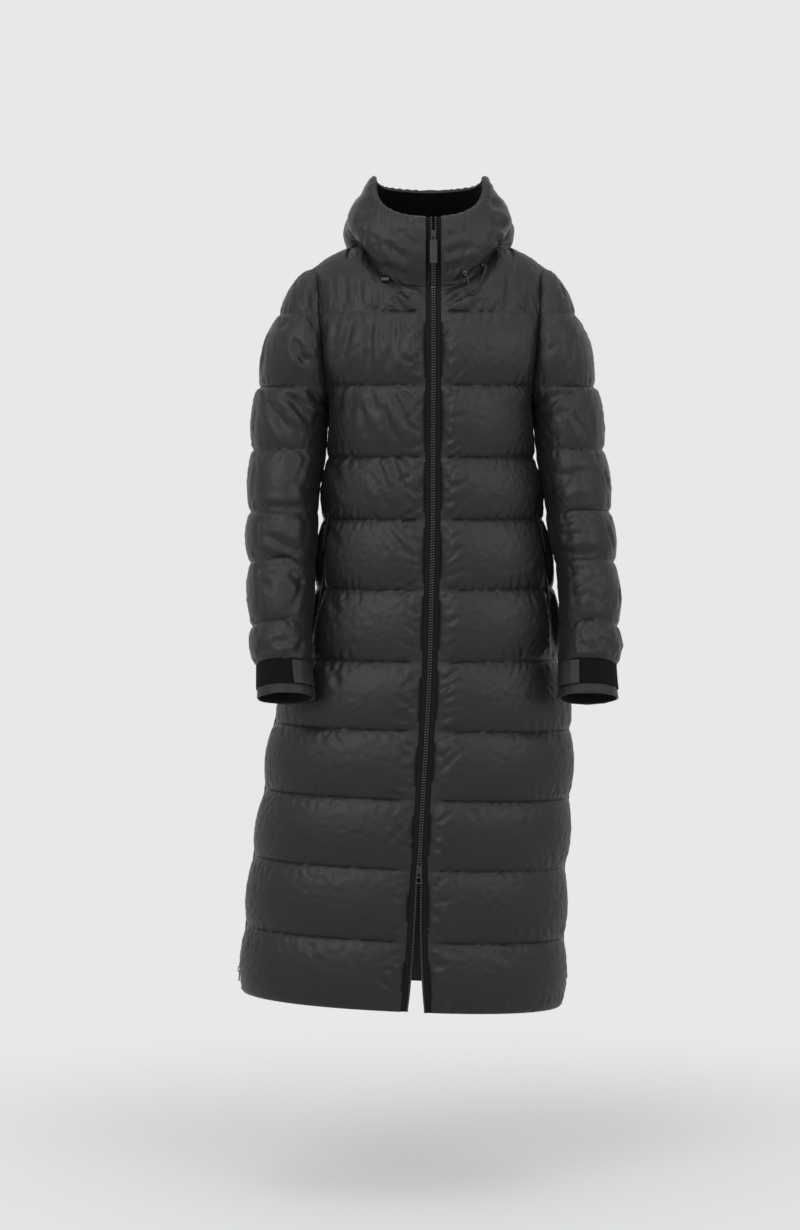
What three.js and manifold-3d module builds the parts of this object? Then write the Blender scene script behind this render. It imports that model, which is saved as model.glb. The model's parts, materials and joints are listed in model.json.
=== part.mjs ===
// A long hooded puffer coat, worn and hollow, in millimetres. +Z is up, the front faces -Y and the wearer's
// left is +X. The origin is the middle of the neck base, where the wearer's shoulders carry the coat.
// Every quilted piece is a wall: a plain inside, and an outside that swells between the quilting seams.
import * as THREE from "three";
import { mergeVertices } from "three/addons/utils/BufferGeometryUtils.js";
import Module from "manifold-3d";

const wasm = await Module();
wasm.setup();

// Driving sizes
const SEAM_WALL = 3; // thickness of a quilted wall along its seams
const GAP = 0.3; // room between two pieces at a seam
const BODY_PUFF = 12; // how far a body baffle swells past its seams
const SLEEVE_PUFF = 9;
const HOOD_WALL = 10; // padded thickness of hood and collar
const CUFF_WALL = 3.5;
const ZIP_HALF = 12; // half the strip between the two fronts that the zip fills
const TAPE_WIDTH = 11.85;
const SHOULDER = 190; // neck base to shoulder point, along X
const NECK_HALF = 95; // half width of the neck seam
const NECK_FRONT_Z = -48;
const NECK_SIDE_Z = 25;
const NECK_BACK_Z = 8;
const NECK_Y = -15; // middle of the neck seam, front to back
const MID_Y = 5; // the side seams and shoulder seams lie on this plane
const DOME_Z = -200; // above this height the body rounds over to the shoulder ridge
const SIDE_POWER = 2.3; // 2 is an ellipse, more is squarer
const NECK_POWER = 2.6;

// Quilting seams of the body from the hem up, at the centre front
const BODY_SEAMS = [-1193, -1083, -969, -859, -750, -641, -528, -417, -318, -204, -88];
const YOKE_BAND = BODY_SEAMS.length - 1;
// Quilting seams of the sleeves below the armpit; above it they meet the body's
const SLEEVE_SEAMS = [-648, -587, -486, -405, -305];
// Where a band is cut into rows, as shares of its height
const BAND_ROWS = [0, 0.13, 0.36, 0.64, 0.87];
const ARMPIT_ROW = 8.64; // the armpit's place among the body's rows
// Where a panel is cut into columns, as shares of its width
const FRONT_COLUMNS = [0, 0.07, 0.15, 0.23, 0.31, 0.4, 0.46, 0.5, 0.62, 0.7, 0.74, 0.78, 0.86, 0.97, 1];
const BACK_COLUMNS = [0, 0.12, 0.24, 0.36, 0.44, 0.5, 0.64, 0.78, 0.9, 0.97, 1];
const NECK_SHARE = 0.5; // the share of a panel's top edge that is neckline

// Inside of the body: centre and half width along X, depth to the front and to the back of the side seams
const BODY = [
  { z: -1200, centre: -53, half: 257, front: 151, back: 153 },
  { z: -1095, centre: -48, half: 255, front: 151, back: 153 },
  { z: -1016, centre: -44, half: 251, front: 150, back: 152 },
  { z: -938, centre: -37, half: 248, front: 149, back: 151 },
  { z: -860, centre: -28, half: 243, front: 147, back: 150 },
  { z: -780, centre: -22, half: 239, front: 144, back: 148 },
  { z: -723, centre: -17, half: 231, front: 141, back: 146 },
  { z: -690, centre: -14, half: 219, front: 139, back: 144 },
  { z: -641, centre: -7, half: 206, front: 135, back: 141 },
  { z: -528, centre: 1, half: 188, front: 128, back: 134 },
  { z: -417, centre: -2, half: 174, front: 123, back: 129 },
  { z: -330, centre: -5, half: 164, front: 121, back: 128 },
  { z: -245, centre: -6, half: 158, front: 122, back: 129 },
  { z: -210, centre: -7, half: 174, front: 122, back: 129 },
  { z: -160, centre: -8, half: 192, front: 122, back: 129 },
  { z: -110, centre: -8, half: 200, front: 121, back: 128 },
  { z: 40, centre: -8, half: 202, front: 120, back: 127 },
];

// The armhole's distance from the body's centre
const ARMHOLE = [
  { z: -245, half: 158 },
  { z: -210, half: 163 },
  { z: -160, half: 169 },
  { z: -115, half: 173 },
  { z: -77, half: 179 },
  { z: -48, half: 186 },
  { z: -16, half: 190 },
];

// The front zip's line, and half the gap between the fronts, which open below the lower slider
const ZIP_LINE = [
  { z: -1200, x: -30, half: 25 },
  { z: -1142, x: -29, half: 20 },
  { z: -1083, x: -28, half: 16.5 },
  { z: -1020, x: -26.5, half: 14.5 },
  { z: -975, x: -25, half: 13.7 },
  { z: -950, x: -24, half: ZIP_HALF },
  { z: -857, x: -19, half: ZIP_HALF },
  { z: -750, x: -13, half: ZIP_HALF },
  { z: -641, x: -8, half: ZIP_HALF },
  { z: -385, x: -3, half: ZIP_HALF },
  { z: 80, x: -2, half: ZIP_HALF },
];

// How far the quilting rises towards the wearer's right side, because the coat swings out there
const RISE = [
  { z: -1200, rise: 12 },
  { z: -750, rise: 6 },
  { z: -600, rise: 0 },
  { z: 80, rise: 0 },
];

// Inside of the sleeves: how far out along X the inner and outer sides lie, the middle and half depth along
// Y, and how far a level ring leans, as a slope that lifts its front
const SLEEVE_RIGHT = [
  { z: -700, inner: 190, outer: 277, y: -138, half: 37, lean: 0.3 },
  { z: -648, inner: 199, outer: 278, y: -116, half: 43, lean: 0.3 },
  { z: -606, inner: 199, outer: 284, y: -98, half: 46, lean: 0.3 },
  { z: -547, inner: 196, outer: 287, y: -78, half: 50, lean: 0.28 },
  { z: -489, inner: 194, outer: 290, y: -58, half: 54, lean: 0.2 },
  { z: -431, inner: 191, outer: 292, y: -42, half: 58, lean: 0.1 },
  { z: -372, inner: 189, outer: 290, y: -26, half: 62, lean: 0.05 },
  { z: -305, inner: 177, outer: 288, y: -12, half: 66, lean: 0 },
  { z: -270, inner: 174.5, outer: 285, y: -3, half: 71, lean: 0 },
  { z: -245, inner: 164.3, outer: 283, y: MID_Y, half: 75, lean: 0 },
];
const SLEEVE_LEFT = [
  { z: -700, inner: 196, outer: 286, y: -138, half: 37, lean: 0.3 },
  { z: -648, inner: 199, outer: 283, y: -116, half: 43, lean: 0.3 },
  { z: -606, inner: 203, outer: 286, y: -98, half: 46, lean: 0.3 },
  { z: -547, inner: 203, outer: 286, y: -78, half: 50, lean: 0.28 },
  { z: -489, inner: 198, outer: 283, y: -58, half: 54, lean: 0.2 },
  { z: -431, inner: 186.5, outer: 279, y: -42, half: 58, lean: 0.1 },
  { z: -372, inner: 180, outer: 274, y: -26, half: 62, lean: 0.05 },
  { z: -305, inner: 167.5, outer: 268, y: -12, half: 66, lean: 0 },
  { z: -270, inner: 164, outer: 264, y: -3, half: 71, lean: 0 },
  { z: -245, inner: 152.3, outer: 261, y: MID_Y, half: 75, lean: 0 },
];
// Above the armpit: how far out the sleeve's crown lies, and how much deeper than the armhole it is cut
const CROWN = [
  { z: -245, right: 283, left: 261, slack: 75 },
  { z: -198, right: 276, left: 253, slack: 50 },
  { z: -140, right: 265, left: 242, slack: 34 },
  { z: -101, right: 251, left: 229, slack: 26 },
  { z: -63, right: 234, left: 213, slack: 18 },
  { z: -34, right: 214, left: 194, slack: 8 },
  { z: -17, right: 198, left: 182, slack: 0 },
];

// Hood and collar: the fabric's way from the neck seam up to the hood's edge, as steps out from the neck and
// up, at angles round the neck from the zip (0) to the middle of the back (180)
const HOOD = [
  {
    angle: 0, out1: 3, up1: 20, out2: 6, up2: 42, out3: 7, up3: 64,
    out4: 3, up4: 88, out5: -3, up5: 110,
  },
  {
    angle: 45, out1: 6, up1: 22, out2: 12, up2: 44, out3: 12, up3: 64,
    out4: 4, up4: 87, out5: -6, up5: 110,
  },
  {
    angle: 75, out1: 3, up1: 23, out2: 20, up2: 40, out3: 20, up3: 58,
    out4: 3, up4: 84, out5: -9, up5: 110,
  },
  {
    angle: 100, out1: 4, up1: 25, out2: 32, up2: 32, out3: 30, up3: 50,
    out4: 5, up4: 80, out5: -11, up5: 110,
  },
  {
    angle: 130, out1: 26, up1: 21, out2: 56, up2: 18, out3: 66, up3: 38,
    out4: 40, up4: 78, out5: 2, up5: 113,
  },
  {
    angle: 155, out1: 28, up1: 19, out2: 80, up2: 0, out3: 104, up3: 18,
    out4: 82, up4: 66, out5: 24, up5: 112,
  },
  {
    angle: 180, out1: 28, up1: 17, out2: 84, up2: -8, out3: 122, up3: 8,
    out4: 104, up4: 58, out5: 34, up5: 110,
  },
];

// Pocket zips: the share of the front's width between their two edges, and the body rows they run over
const POCKET = { from: 0.74, to: 0.78, bottom: 5.36, top: 7.13 };
const UNDERARM_STEP = 7; // how far the sleeve stands off the body's side just beyond the armpit
const SIDE_BORDER = 9; // flat strip beside the side seams

// Zip furniture
const TAPE_THICK = 1.4;
const TEETH = { width: 2.9, front: 3, back: -1.2 }; // the row of teeth, beside and above the tape's back
const TOP_SLIDER_Z = 33;
const BOTTOM_SLIDER_Z = -968;
const PARTED = 1.5; // how far the tapes draw back from each other above the top slider
const POCKET_SLIDER_ROW = 7;
const SIDE_ZIPS = {
  right: { top: 4.13, slider: -1150 },
  left: { top: 3.36, slider: -1160 },
};
const PLATE = { width: 8, long: 13, thick: 1.8 };
const BAIL = { width: 2.4, long: 9, high: 5, wire: 1.3 };
const WIRE = 1.4; // the pull's link

// Reads a table of rows sorted by key, with a smooth curve through them.
function lookUp(rows, key, at, column) {
  const first = rows[0];
  const last = rows[rows.length - 1];
  if (at <= first[key]) return first[column];
  if (at >= last[key]) return last[column];
  const i = rows.findIndex((row, n) => n + 1 < rows.length && at < rows[n + 1][key]);
  const before = rows[Math.max(i - 1, 0)];
  const low = rows[i];
  const high = rows[i + 1];
  const after = rows[Math.min(i + 2, rows.length - 1)];
  const width = high[key] - low[key];
  const t = (at - low[key]) / width;
  const slope = (a, b) => (b[key] > a[key] ? (b[column] - a[column]) / (b[key] - a[key]) : 0);
  const flatter = (p, q) => (p * q <= 0 ? 0 : (2 * p * q) / (p + q));
  const here = slope(low, high);
  const m0 = before === low ? here : flatter(slope(before, low), here);
  const m1 = after === high ? here : flatter(here, slope(high, after));
  const t2 = t * t;
  const t3 = t2 * t;
  return (
    (2 * t3 - 3 * t2 + 1) * low[column] +
    (t3 - 2 * t2 + t) * width * m0 +
    (-2 * t3 + 3 * t2) * high[column] +
    (t3 - t2) * width * m1
  );
}

const body = (z, column) => lookUp(BODY, "z", z, column);
const zipLine = (z, column) => lookUp(ZIP_LINE, "z", z, column);
const mix = (a, b, t) => a + (b - a) * t;
const clamp01 = (t) => Math.min(1, Math.max(0, t));
const smooth = (t) => clamp01(t) ** 2 * (3 - 2 * clamp01(t));
const degrees = THREE.MathUtils.degToRad;
const vec = (x, y, z) => new THREE.Vector3(x, y, z);
const mix3 = (a, b, t) => a.clone().lerp(b, t);

// Height of the shoulder ridge at a distance from the body's centre
function ridgeZ(distance) {
  const past = Math.max(0, distance - NECK_HALF);
  return NECK_SIDE_Z - 0.2 * past - 0.0025 * past * past;
}

// A point of the body's inside surface; facing is -1 for the front and 1 for the back
function bodySkin(x, z, facing) {
  const distance = Math.abs(x - body(z, "centre"));
  const share = Math.min(1, distance / body(z, "half"));
  const across = (1 - share ** SIDE_POWER) ** (1 / SIDE_POWER);
  const climb = clamp01((z - DOME_Z) / (ridgeZ(distance) - DOME_Z));
  const depth = body(z, facing < 0 ? "front" : "back");
  return vec(x, MID_Y + facing * depth * across * Math.sqrt(1 - climb * climb), z);
}

// Level of a body row; rows are counted in bands from the hem
function levelZ(row) {
  const band = Math.min(Math.floor(row), YOKE_BAND - 1);
  return mix(BODY_SEAMS[band], BODY_SEAMS[band + 1], row - band);
}
const ARMPIT_Z = levelZ(ARMPIT_ROW);

// The body's outer limit on one side at a height: the side seam, or the armhole above the armpit
function sideX(z, side) {
  const half = z >= ARMPIT_Z ? lookUp(ARMHOLE, "z", z, "half") : body(z, "half");
  return body(z, "centre") + side * half;
}

// A point of the neck seam; angle runs from the centre front (0) round the side (90) to the back (180)
function neckPoint(angle, side) {
  const across = Math.sin(degrees(angle)) ** (2 / NECK_POWER);
  const along = Math.abs(Math.cos(degrees(angle))) ** (2 / NECK_POWER);
  const z = mix(NECK_SIDE_Z, angle <= 90 ? NECK_FRONT_Z : NECK_BACK_Z, along);
  return bodySkin(body(z, "centre") + side * NECK_HALF * across, z, angle <= 90 ? -1 : 1);
}

// The neck angle at which the zip ends and the front's neckline starts
function neckStart(side) {
  const wanted = zipLine(NECK_FRONT_Z, "x") + side * (ZIP_HALF + GAP);
  let angle = 0;
  while (side * (neckPoint(angle, side).x - wanted) < 0) angle += 0.05;
  return angle;
}
const NECK_START = { "-1": neckStart(-1), 1: neckStart(1) };

// Height of a body row at a place along X
const rowZ = (z, x) => z - (lookUp(RISE, "z", z, "rise") * (x - body(z, "centre"))) / 258;

// The neck angle of a column that ends in the neckline
const columnAngle = (panel, side, s) => mix(panel === "front" ? NECK_START[side] : 180, 90, s / NECK_SHARE);

// Rows of the yoke crowd towards the ridge, where the cloth turns over the shoulder.
const yokeLift = (climb, s) =>
  climb < 1 ? mix(climb, Math.sin((climb * Math.PI) / 2), smooth((s - 0.3) / 0.2)) : 1;

// A point of a body panel's inside. s runs from its first edge (0) to the side or armhole (1); side is -1 for
// the wearer's right. The back's s starts at its middle.
function panelPoint(panel, side, s, row) {
  const facing = panel === "front" ? -1 : 1;
  const level = levelZ(Math.min(row, YOKE_BAND));
  const edge = (z) =>
    panel === "front" ? zipLine(z, "x") + side * (zipLine(z, "half") + GAP) : body(z, "centre");
  // Below the armpit the columns are spread by angle, so that the side turns smoothly.
  const byAngle = Math.sin((s * Math.PI) / 2) ** (2 / SIDE_POWER);
  const spread = mix(byAngle, s ** 0.75, smooth((level - ARMPIT_Z) / 70));
  const x = mix(edge(level), sideX(level, side), spread);
  let point;
  if (row <= YOKE_BAND) {
    const z = rowZ(level, x);
    point = bodySkin(mix(edge(z), sideX(z, side), spread), z, facing);
  } else {
    const distance = mix(NECK_HALF, SHOULDER, (s - NECK_SHARE) / (1 - NECK_SHARE));
    const ridge = ridgeZ(distance);
    const top =
      s <= NECK_SHARE
        ? neckPoint(columnAngle(panel, side, s), side)
        : vec(body(ridge, "centre") + side * distance, MID_Y, ridge);
    const climb = row - YOKE_BAND;
    const lift = yokeLift(climb, s);
    point = bodySkin(mix(x, top.x, climb ** 3), mix(level, top.z, lift), facing);
  }
  // Half a gap on either side of the side and shoulder seams
  if (Math.abs(point.y - MID_Y) < GAP / 2) point.y = MID_Y + (facing * GAP) / 2;
  return point;
}

// Swell of a baffle between its seams, from 0 at a seam to 1 at the crown
const swell = (row) => Math.sin(Math.PI * (row - Math.floor(row))) ** 0.6;

// Swell beside a panel's own edge, given the distance to it
const edgeSwell = (distance, reach) => Math.sin((Math.PI / 2) * clamp01(distance / reach)) ** 0.8;

// The cloth lies flat near the armpit, which is an offset away across and up
const armpitEase = (across, up) => smooth((Math.hypot(across, up) - 15) / 75);

// How far a body panel's outside swells past its seam thickness
function bodySwell(panel, s, row) {
  const width = 300;
  let amount = BODY_PUFF * swell(row);
  if (row > YOKE_BAND) amount *= 0.55 * (s < 0.65 ? smooth((YOKE_BAND + 1 - row) * 1.5) : 1);
  amount *= edgeSwell(Math.max(0, (1 - s) * width - SIDE_BORDER), 45);
  amount *= armpitEase((1 - s) * width, levelZ(Math.min(row, YOKE_BAND)) - ARMPIT_Z);
  if (panel === "back") return amount;
  amount *= edgeSwell(s * width, 38);
  // The pocket zip lies in an upright groove
  const ends = smooth((row - POCKET.bottom + 0.5) / 0.5) * smooth((POCKET.top + 0.4 - row) / 0.4);
  const away = Math.max(0, POCKET.from - s, s - POCKET.to) * width;
  return amount * (1 - ends * (1 - smooth(away / 24)));
}

// Unit normals of a grid of points, by central differences; closed says that a row's ends meet
function gridNormals(grid, closed, turn) {
  return grid.map((row, i) =>
    row.map((point, j) => {
      const up = grid[Math.min(i + 1, grid.length - 1)][j];
      const down = grid[Math.max(i - 1, 0)][j];
      const last = row.length - 1;
      const ends = closed(i);
      const right = j < last ? row[j + 1] : ends ? row[1] : point;
      const left = j > 0 ? row[j - 1] : ends ? row[last - 1] : point;
      const normal = new THREE.Vector3().subVectors(right, left).cross(up.clone().sub(down));
      return normal.normalize().multiplyScalar(turn);
    }),
  );
}

// Turns each row's normals away from the middle of its ring
function faceOut(grid, normals) {
  for (const [i, line] of grid.entries()) {
    const middle = line.reduce((sum, point) => sum.add(point), vec(0, 0, 0)).divideScalar(line.length);
    const j = line.length >> 1;
    if (normals[i][j].dot(line[j].clone().sub(middle)) < 0) normals[i].forEach((normal) => normal.negate());
  }
  return normals;
}

// Moves a grid's points out along its normals by amount(i, j)
function moveOut(grid, normals, amount) {
  return grid.map((row, i) => row.map((p, j) => p.clone().addScaledVector(normals[i][j], amount(i, j))));
}

// A closed body from triangles of points, with shared corners merged, facing out
function solidOf(triangles) {
  const flat = [];
  for (const corners of triangles) {
    const [a, b, c] = corners;
    if (a.distanceTo(b) < 2e-3 || b.distanceTo(c) < 2e-3 || c.distanceTo(a) < 2e-3) continue;
    for (const p of corners) flat.push(p.x, p.y, p.z);
  }
  let geometry = new THREE.BufferGeometry();
  geometry.setAttribute("position", new THREE.Float32BufferAttribute(flat, 3));
  geometry = mergeVertices(geometry, 1e-3);
  const index = geometry.index.array;
  const at = (i) => new THREE.Vector3().fromBufferAttribute(geometry.attributes.position, index[i]);
  let volume = 0;
  for (let i = 0; i < index.length; i += 3) volume += at(i).dot(at(i + 1).cross(at(i + 2)));
  if (volume < 0)
    for (let i = 0; i < index.length; i += 3) [index[i], index[i + 1]] = [index[i + 1], index[i]];
  return geometry;
}

// A wall between an outer grid and an inner one. innerRows says which outer row each inner row backs, and
// closed(i) that the ends of outer row i meet, so that the wall is a tube there.
function wallBetween(outer, inner, innerRows, closed) {
  const out = [];
  const quad = (a, b, c, d) => out.push([a, b, c], [a, c, d]);
  const skin = (grid, flip) => {
    for (let i = 0; i + 1 < grid.length; i += 1)
      for (let j = 0; j + 1 < grid[i].length; j += 1) {
        const corners = [grid[i][j], grid[i][j + 1], grid[i + 1][j + 1], grid[i + 1][j]];
        quad(...(flip ? corners.reverse() : corners));
      }
  };
  skin(outer, false);
  skin(inner, true);
  const last = outer[0].length - 1;
  // Rims along the first and last column, where the inside has fewer rows than the outside
  for (const [column, flip] of [
    [0, false],
    [last, true],
  ])
    for (let k = 0; k + 1 < innerRows.length; k += 1) {
      const from = innerRows[k];
      const to = innerRows[k + 1];
      if (closed(from) && closed(to)) continue;
      const middle = Math.floor((from + to) / 2);
      const low = inner[k][column];
      const high = inner[k + 1][column];
      const fan = [];
      for (let i = from; i < to; i += 1)
        fan.push([i < middle ? low : high, outer[i][column], outer[i + 1][column]]);
      fan.push([low, outer[middle][column], high]);
      for (const triangle of fan) out.push(flip ? triangle.reverse() : triangle);
    }
  // Rims along the first and last row
  const rows = [
    [outer[0], inner[0], false],
    [outer[outer.length - 1], inner[inner.length - 1], true],
  ];
  for (const [a, b, flip] of rows)
    for (let j = 0; j < last; j += 1) {
      const corners = [a[j], a[j + 1], b[j + 1], b[j]];
      quad(...(flip ? corners : corners.reverse()));
    }
  return solidOf(out);
}

// Rows of a quilted piece, as band numbers with shares
function rowsBetween(first, last) {
  const rows = [];
  for (let band = first; band < last; band += 1)
    for (const share of BAND_ROWS) rows.push(band + share);
  rows.push(last);
  return rows;
}
const isSeam = (row) => Number.isInteger(row);
const never = () => false;

// A seam's shared direction, so that the pieces on both sides of it are cut alike
const seamNormal = (a, b) => a.clone().add(b).normalize();

// Body panels
const BODY_ROWS = rowsBetween(0, YOKE_BAND + 1);
// The plain inside has a row at each seam, at the armpit, and where the yoke turns over the shoulder.
const keptInside = (row) => isSeam(row) || [ARMPIT_ROW, YOKE_BAND + 0.36, YOKE_BAND + 0.64].includes(row);
const INNER_ROWS = BODY_ROWS.map((row, i) => i).filter((i) => keptInside(BODY_ROWS[i]));
const columnsOf = (panel, side) =>
  (panel === "front" ? FRONT_COLUMNS : BACK_COLUMNS).map((s) => ({ side, s }));
const backColumns = [...columnsOf("back", -1).reverse(), ...columnsOf("back", 1).slice(1)];
const PANELS = {
  front_right: { panel: "front", columns: columnsOf("front", -1).reverse(), turn: 1 },
  front_left: { panel: "front", columns: columnsOf("front", 1), turn: 1 },
  back: { panel: "back", columns: backColumns, turn: -1 },
};
for (const part of Object.values(PANELS)) {
  part.base = BODY_ROWS.map((row) => part.columns.map(({ side, s }) => panelPoint(part.panel, side, s, row)));
  part.normals = gridNormals(part.base, never, part.turn);
  // Both sides of a side or shoulder seam face straight out of it.
  part.base.forEach((line, i) =>
    line.forEach((point, j) => {
      if (Math.abs(point.y - MID_Y) < GAP) part.normals[i][j].setY(0).normalize();
    }),
  );
}

// Sleeves. Above the armpit a row is an arc from the front of the armhole over the crown to its back; below,
// a ring. The first column runs down the underarm.
const SLEEVE_COLUMNS = 20;
const CAP_ROWS = BODY_ROWS.filter((row) => row >= ARMPIT_ROW);
const ARM_ROWS = rowsBetween(0, SLEEVE_SEAMS.length - 1);
ARM_ROWS.push(SLEEVE_SEAMS.length - 1 + 0.13, SLEEVE_SEAMS.length - 1 + 0.36);
const armLevel = (row) => {
  const seams = [...SLEEVE_SEAMS, BODY_SEAMS[9]];
  const band = Math.min(Math.floor(row), seams.length - 2);
  return mix(seams[band], seams[band + 1], row - band);
};

function sleeveRing(table, side, level, angle) {
  const at = (column) => lookUp(table, "z", level, column);
  const centre = (at("inner") + at("outer")) / 2;
  const reach = (at("outer") - at("inner")) / 2;
  const y = at("y") - at("half") * Math.sin(angle);
  return vec(side * (centre + reach * Math.cos(angle)), y, level + at("lean") * (at("y") - y));
}

function sleeveCap(side, row, front, rear, share) {
  const level = levelZ(Math.min(row, YOKE_BAND));
  const top = ridgeZ(SHOULDER);
  const z = row <= YOKE_BAND ? level : mix(level, top, yokeLift(row - YOKE_BAND, 1));
  const column = side < 0 ? "right" : "left";
  let crown = lookUp(CROWN, "z", z, column);
  if (row === YOKE_BAND + 1) crown = side * front.x;
  const slack = lookUp(CROWN, "z", z, "slack");
  const edge = share < 0.5 ? front : rear;
  const deep = Math.max(Math.abs(edge.y - MID_Y), 0.01);
  const half = Math.hypot(deep, slack);
  const end = Math.PI - Math.asin(Math.min(1, deep / half));
  const angle = end * Math.abs(1 - 2 * share);
  const reach = (crown - side * edge.x) / (1 - Math.cos(end));
  const centre = crown - reach;
  const over = (1 - Math.cos(angle)) / (1 - Math.cos(end));
  const y = MID_Y + (share < 0.5 ? -1 : 1) * half * Math.sin(angle);
  // Clear of the body's side, on either side of the armpit
  const clear = UNDERARM_STEP * smooth(Math.abs(y - MID_Y) / 12) * (1 - smooth((z - ARMPIT_Z) / 45));
  return vec(side * (centre + reach * Math.cos(angle) + clear), y, mix(z, edge.z, over));
}

function sleeveGrid(side) {
  const table = side < 0 ? SLEEVE_RIGHT : SLEEVE_LEFT;
  const front = side < 0 ? PANELS.front_right : PANELS.front_left;
  const frontEdge = side < 0 ? 0 : front.columns.length - 1;
  const rearEdge = side < 0 ? 0 : PANELS.back.columns.length - 1;
  const rows = [];
  for (const row of ARM_ROWS) {
    const line = [];
    for (let j = 0; j <= SLEEVE_COLUMNS; j += 1)
      line.push(sleeveRing(table, side, armLevel(row), Math.PI - (2 * Math.PI * j) / SLEEVE_COLUMNS));
    line[SLEEVE_COLUMNS] = line[0].clone();
    rows.push({ row, closed: true, cap: false, line });
  }
  for (const row of CAP_ROWS) {
    const i = BODY_ROWS.indexOf(row);
    const a = front.base[i][frontEdge];
    const b = PANELS.back.base[i][rearEdge];
    const line = [];
    for (let j = 0; j <= SLEEVE_COLUMNS; j += 1) line.push(sleeveCap(side, row, a, b, j / SLEEVE_COLUMNS));
    const closed = row === ARMPIT_ROW;
    if (closed) {
      line[0].y = MID_Y;
      line[SLEEVE_COLUMNS] = line[0].clone();
    }
    // The cap closes in one point at the shoulder.
    if (row === YOKE_BAND + 1) line.fill(vec(a.x, MID_Y, a.z));
    rows.push({ row, closed, cap: true, line: line.map((point) => point.clone()), panelRow: i });
  }
  return { rows, front, frontEdge, rearEdge };
}

function sleeveSwell(entry, j, line) {
  const last = SLEEVE_COLUMNS;
  const around = Math.abs(1 - (2 * j) / last); // 0 on the outer side, 1 at the underarm
  const nearest = Math.min(line[j].distanceTo(line[0]), line[j].distanceTo(line[last]));
  const ease = armpitEase(nearest, line[0].z - ARMPIT_Z);
  if (!entry.cap) {
    const pressed = 1 - 0.75 * smooth((around - 0.55) / 0.3);
    return SLEEVE_PUFF * swell(entry.row) * pressed * ease;
  }
  const band = entry.row < YOKE_BAND - 1 ? Math.min(1, swell(entry.row) + 0.3) : swell(entry.row);
  return SLEEVE_PUFF * band * edgeSwell(nearest, 40) * ease * (entry.row > YOKE_BAND ? 0.7 : 1);
}

function sleeve(side) {
  const { rows, front, frontEdge, rearEdge } = sleeveGrid(side);
  const base = rows.map((entry) => entry.line);
  const closed = (i) => rows[i].closed;
  const normals = faceOut(base, gridNormals(base, closed, 1));
  const last = SLEEVE_COLUMNS;
  for (const [i, entry] of rows.entries()) {
    if (!entry.cap) {
      const mean = seamNormal(normals[i][0], normals[i][last]);
      normals[i][0] = mean;
      normals[i][last] = mean.clone();
      continue;
    }
    const k = entry.panelRow;
    const bodyFront = front.normals[k][frontEdge];
    const bodyRear = PANELS.back.normals[k][rearEdge];
    let a = seamNormal(bodyFront, normals[i][0]);
    let b = seamNormal(bodyRear, normals[i][last]);
    if (entry.row === ARMPIT_ROW) {
      a = vec(0, 0, -1);
      b = vec(0, 0, -1);
    } else if (entry.row === YOKE_BAND + 1) {
      a = vec(bodyFront.x, 0, bodyFront.z).normalize();
      b = a.clone();
      for (const n of normals[i]) n.copy(a);
    }
    normals[i][0] = a;
    normals[i][last] = b;
    front.normals[k][frontEdge] = a.clone();
    PANELS.back.normals[k][rearEdge] = b.clone();
    // The cloth turns gradually into the seam.
    if (!entry.closed && entry.row < YOKE_BAND + 1) {
      const inward = frontEdge === 0 ? 1 : -1;
      const beside = front.normals[k][frontEdge + inward];
      const besideRear = PANELS.back.normals[k][rearEdge + (rearEdge === 0 ? 1 : -1)];
      beside.copy(seamNormal(beside, a));
      besideRear.copy(seamNormal(besideRear, b));
      normals[i][1] = seamNormal(normals[i][1], a);
      normals[i][last - 1] = seamNormal(normals[i][last - 1], b);
    }
    // Stand a gap's width off the armhole
    for (const point of base[i]) point.x += side * (entry.closed ? 5 * GAP : GAP);
  }
  const outer = moveOut(base, normals, (i, j) => SEAM_WALL + sleeveSwell(rows[i], j, base[i]));
  const innerRows = rows
    .map((entry, i) => i)
    .filter((i) => (rows[i].cap ? keptInside(rows[i].row) : isSeam(rows[i].row)));
  const inner = innerRows.map((i) => base[i]);
  return wallBetween(outer, inner, innerRows, closed);
}

const LOOKS = {
  shell: { color: 0x2e2e2f, roughness: 0.5, metalness: 0 },
  trim: { color: 0x1a1a1b, roughness: 0.7, metalness: 0 },
  tape: { color: 0x141415, roughness: 0.85, metalness: 0 },
  hook: { color: 0x0c0c0c, roughness: 1, metalness: 0 },
  metal: { color: 0x222224, roughness: 0.35, metalness: 0.8 },
  cord: { color: 0x101010, roughness: 0.8, metalness: 0 },
};

const coat = new THREE.Group();
function add(name, geometry, look) {
  const mesh = new THREE.Mesh(geometry, new THREE.MeshStandardMaterial(LOOKS[look]));
  mesh.name = name;
  coat.add(mesh);
}

add("sleeve_right", sleeve(-1), "shell");
add("sleeve_left", sleeve(1), "shell");

// Cuffs: a plain band below each sleeve, with a strip of hook-and-loop and a tab that closes on it
const CUFF_LEVELS = [-698, -684, -664, -648];
function cuff(side) {
  const table = side < 0 ? SLEEVE_RIGHT : SLEEVE_LEFT;
  const drop = CUFF_LEVELS.map((level) => (level === CUFF_LEVELS.at(-1) ? level - GAP : level));
  const base = drop.map((level) => {
    const line = [];
    for (let j = 0; j < SLEEVE_COLUMNS; j += 1)
      line.push(sleeveRing(table, side, level, Math.PI - (2 * Math.PI * j) / SLEEVE_COLUMNS));
    line.push(line[0].clone());
    return line;
  });
  const normals = faceOut(base, gridNormals(base, () => true, 1));
  for (const line of normals) {
    const mean = seamNormal(line[0], line[SLEEVE_COLUMNS]);
    line[0] = mean;
    line[SLEEVE_COLUMNS] = mean.clone();
  }
  const outer = moveOut(base, normals, () => CUFF_WALL);
  const rows = base.map((line, i) => i);
  return { outer, normals, geometry: wallBetween(outer, base, rows, () => true) };
}

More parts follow.
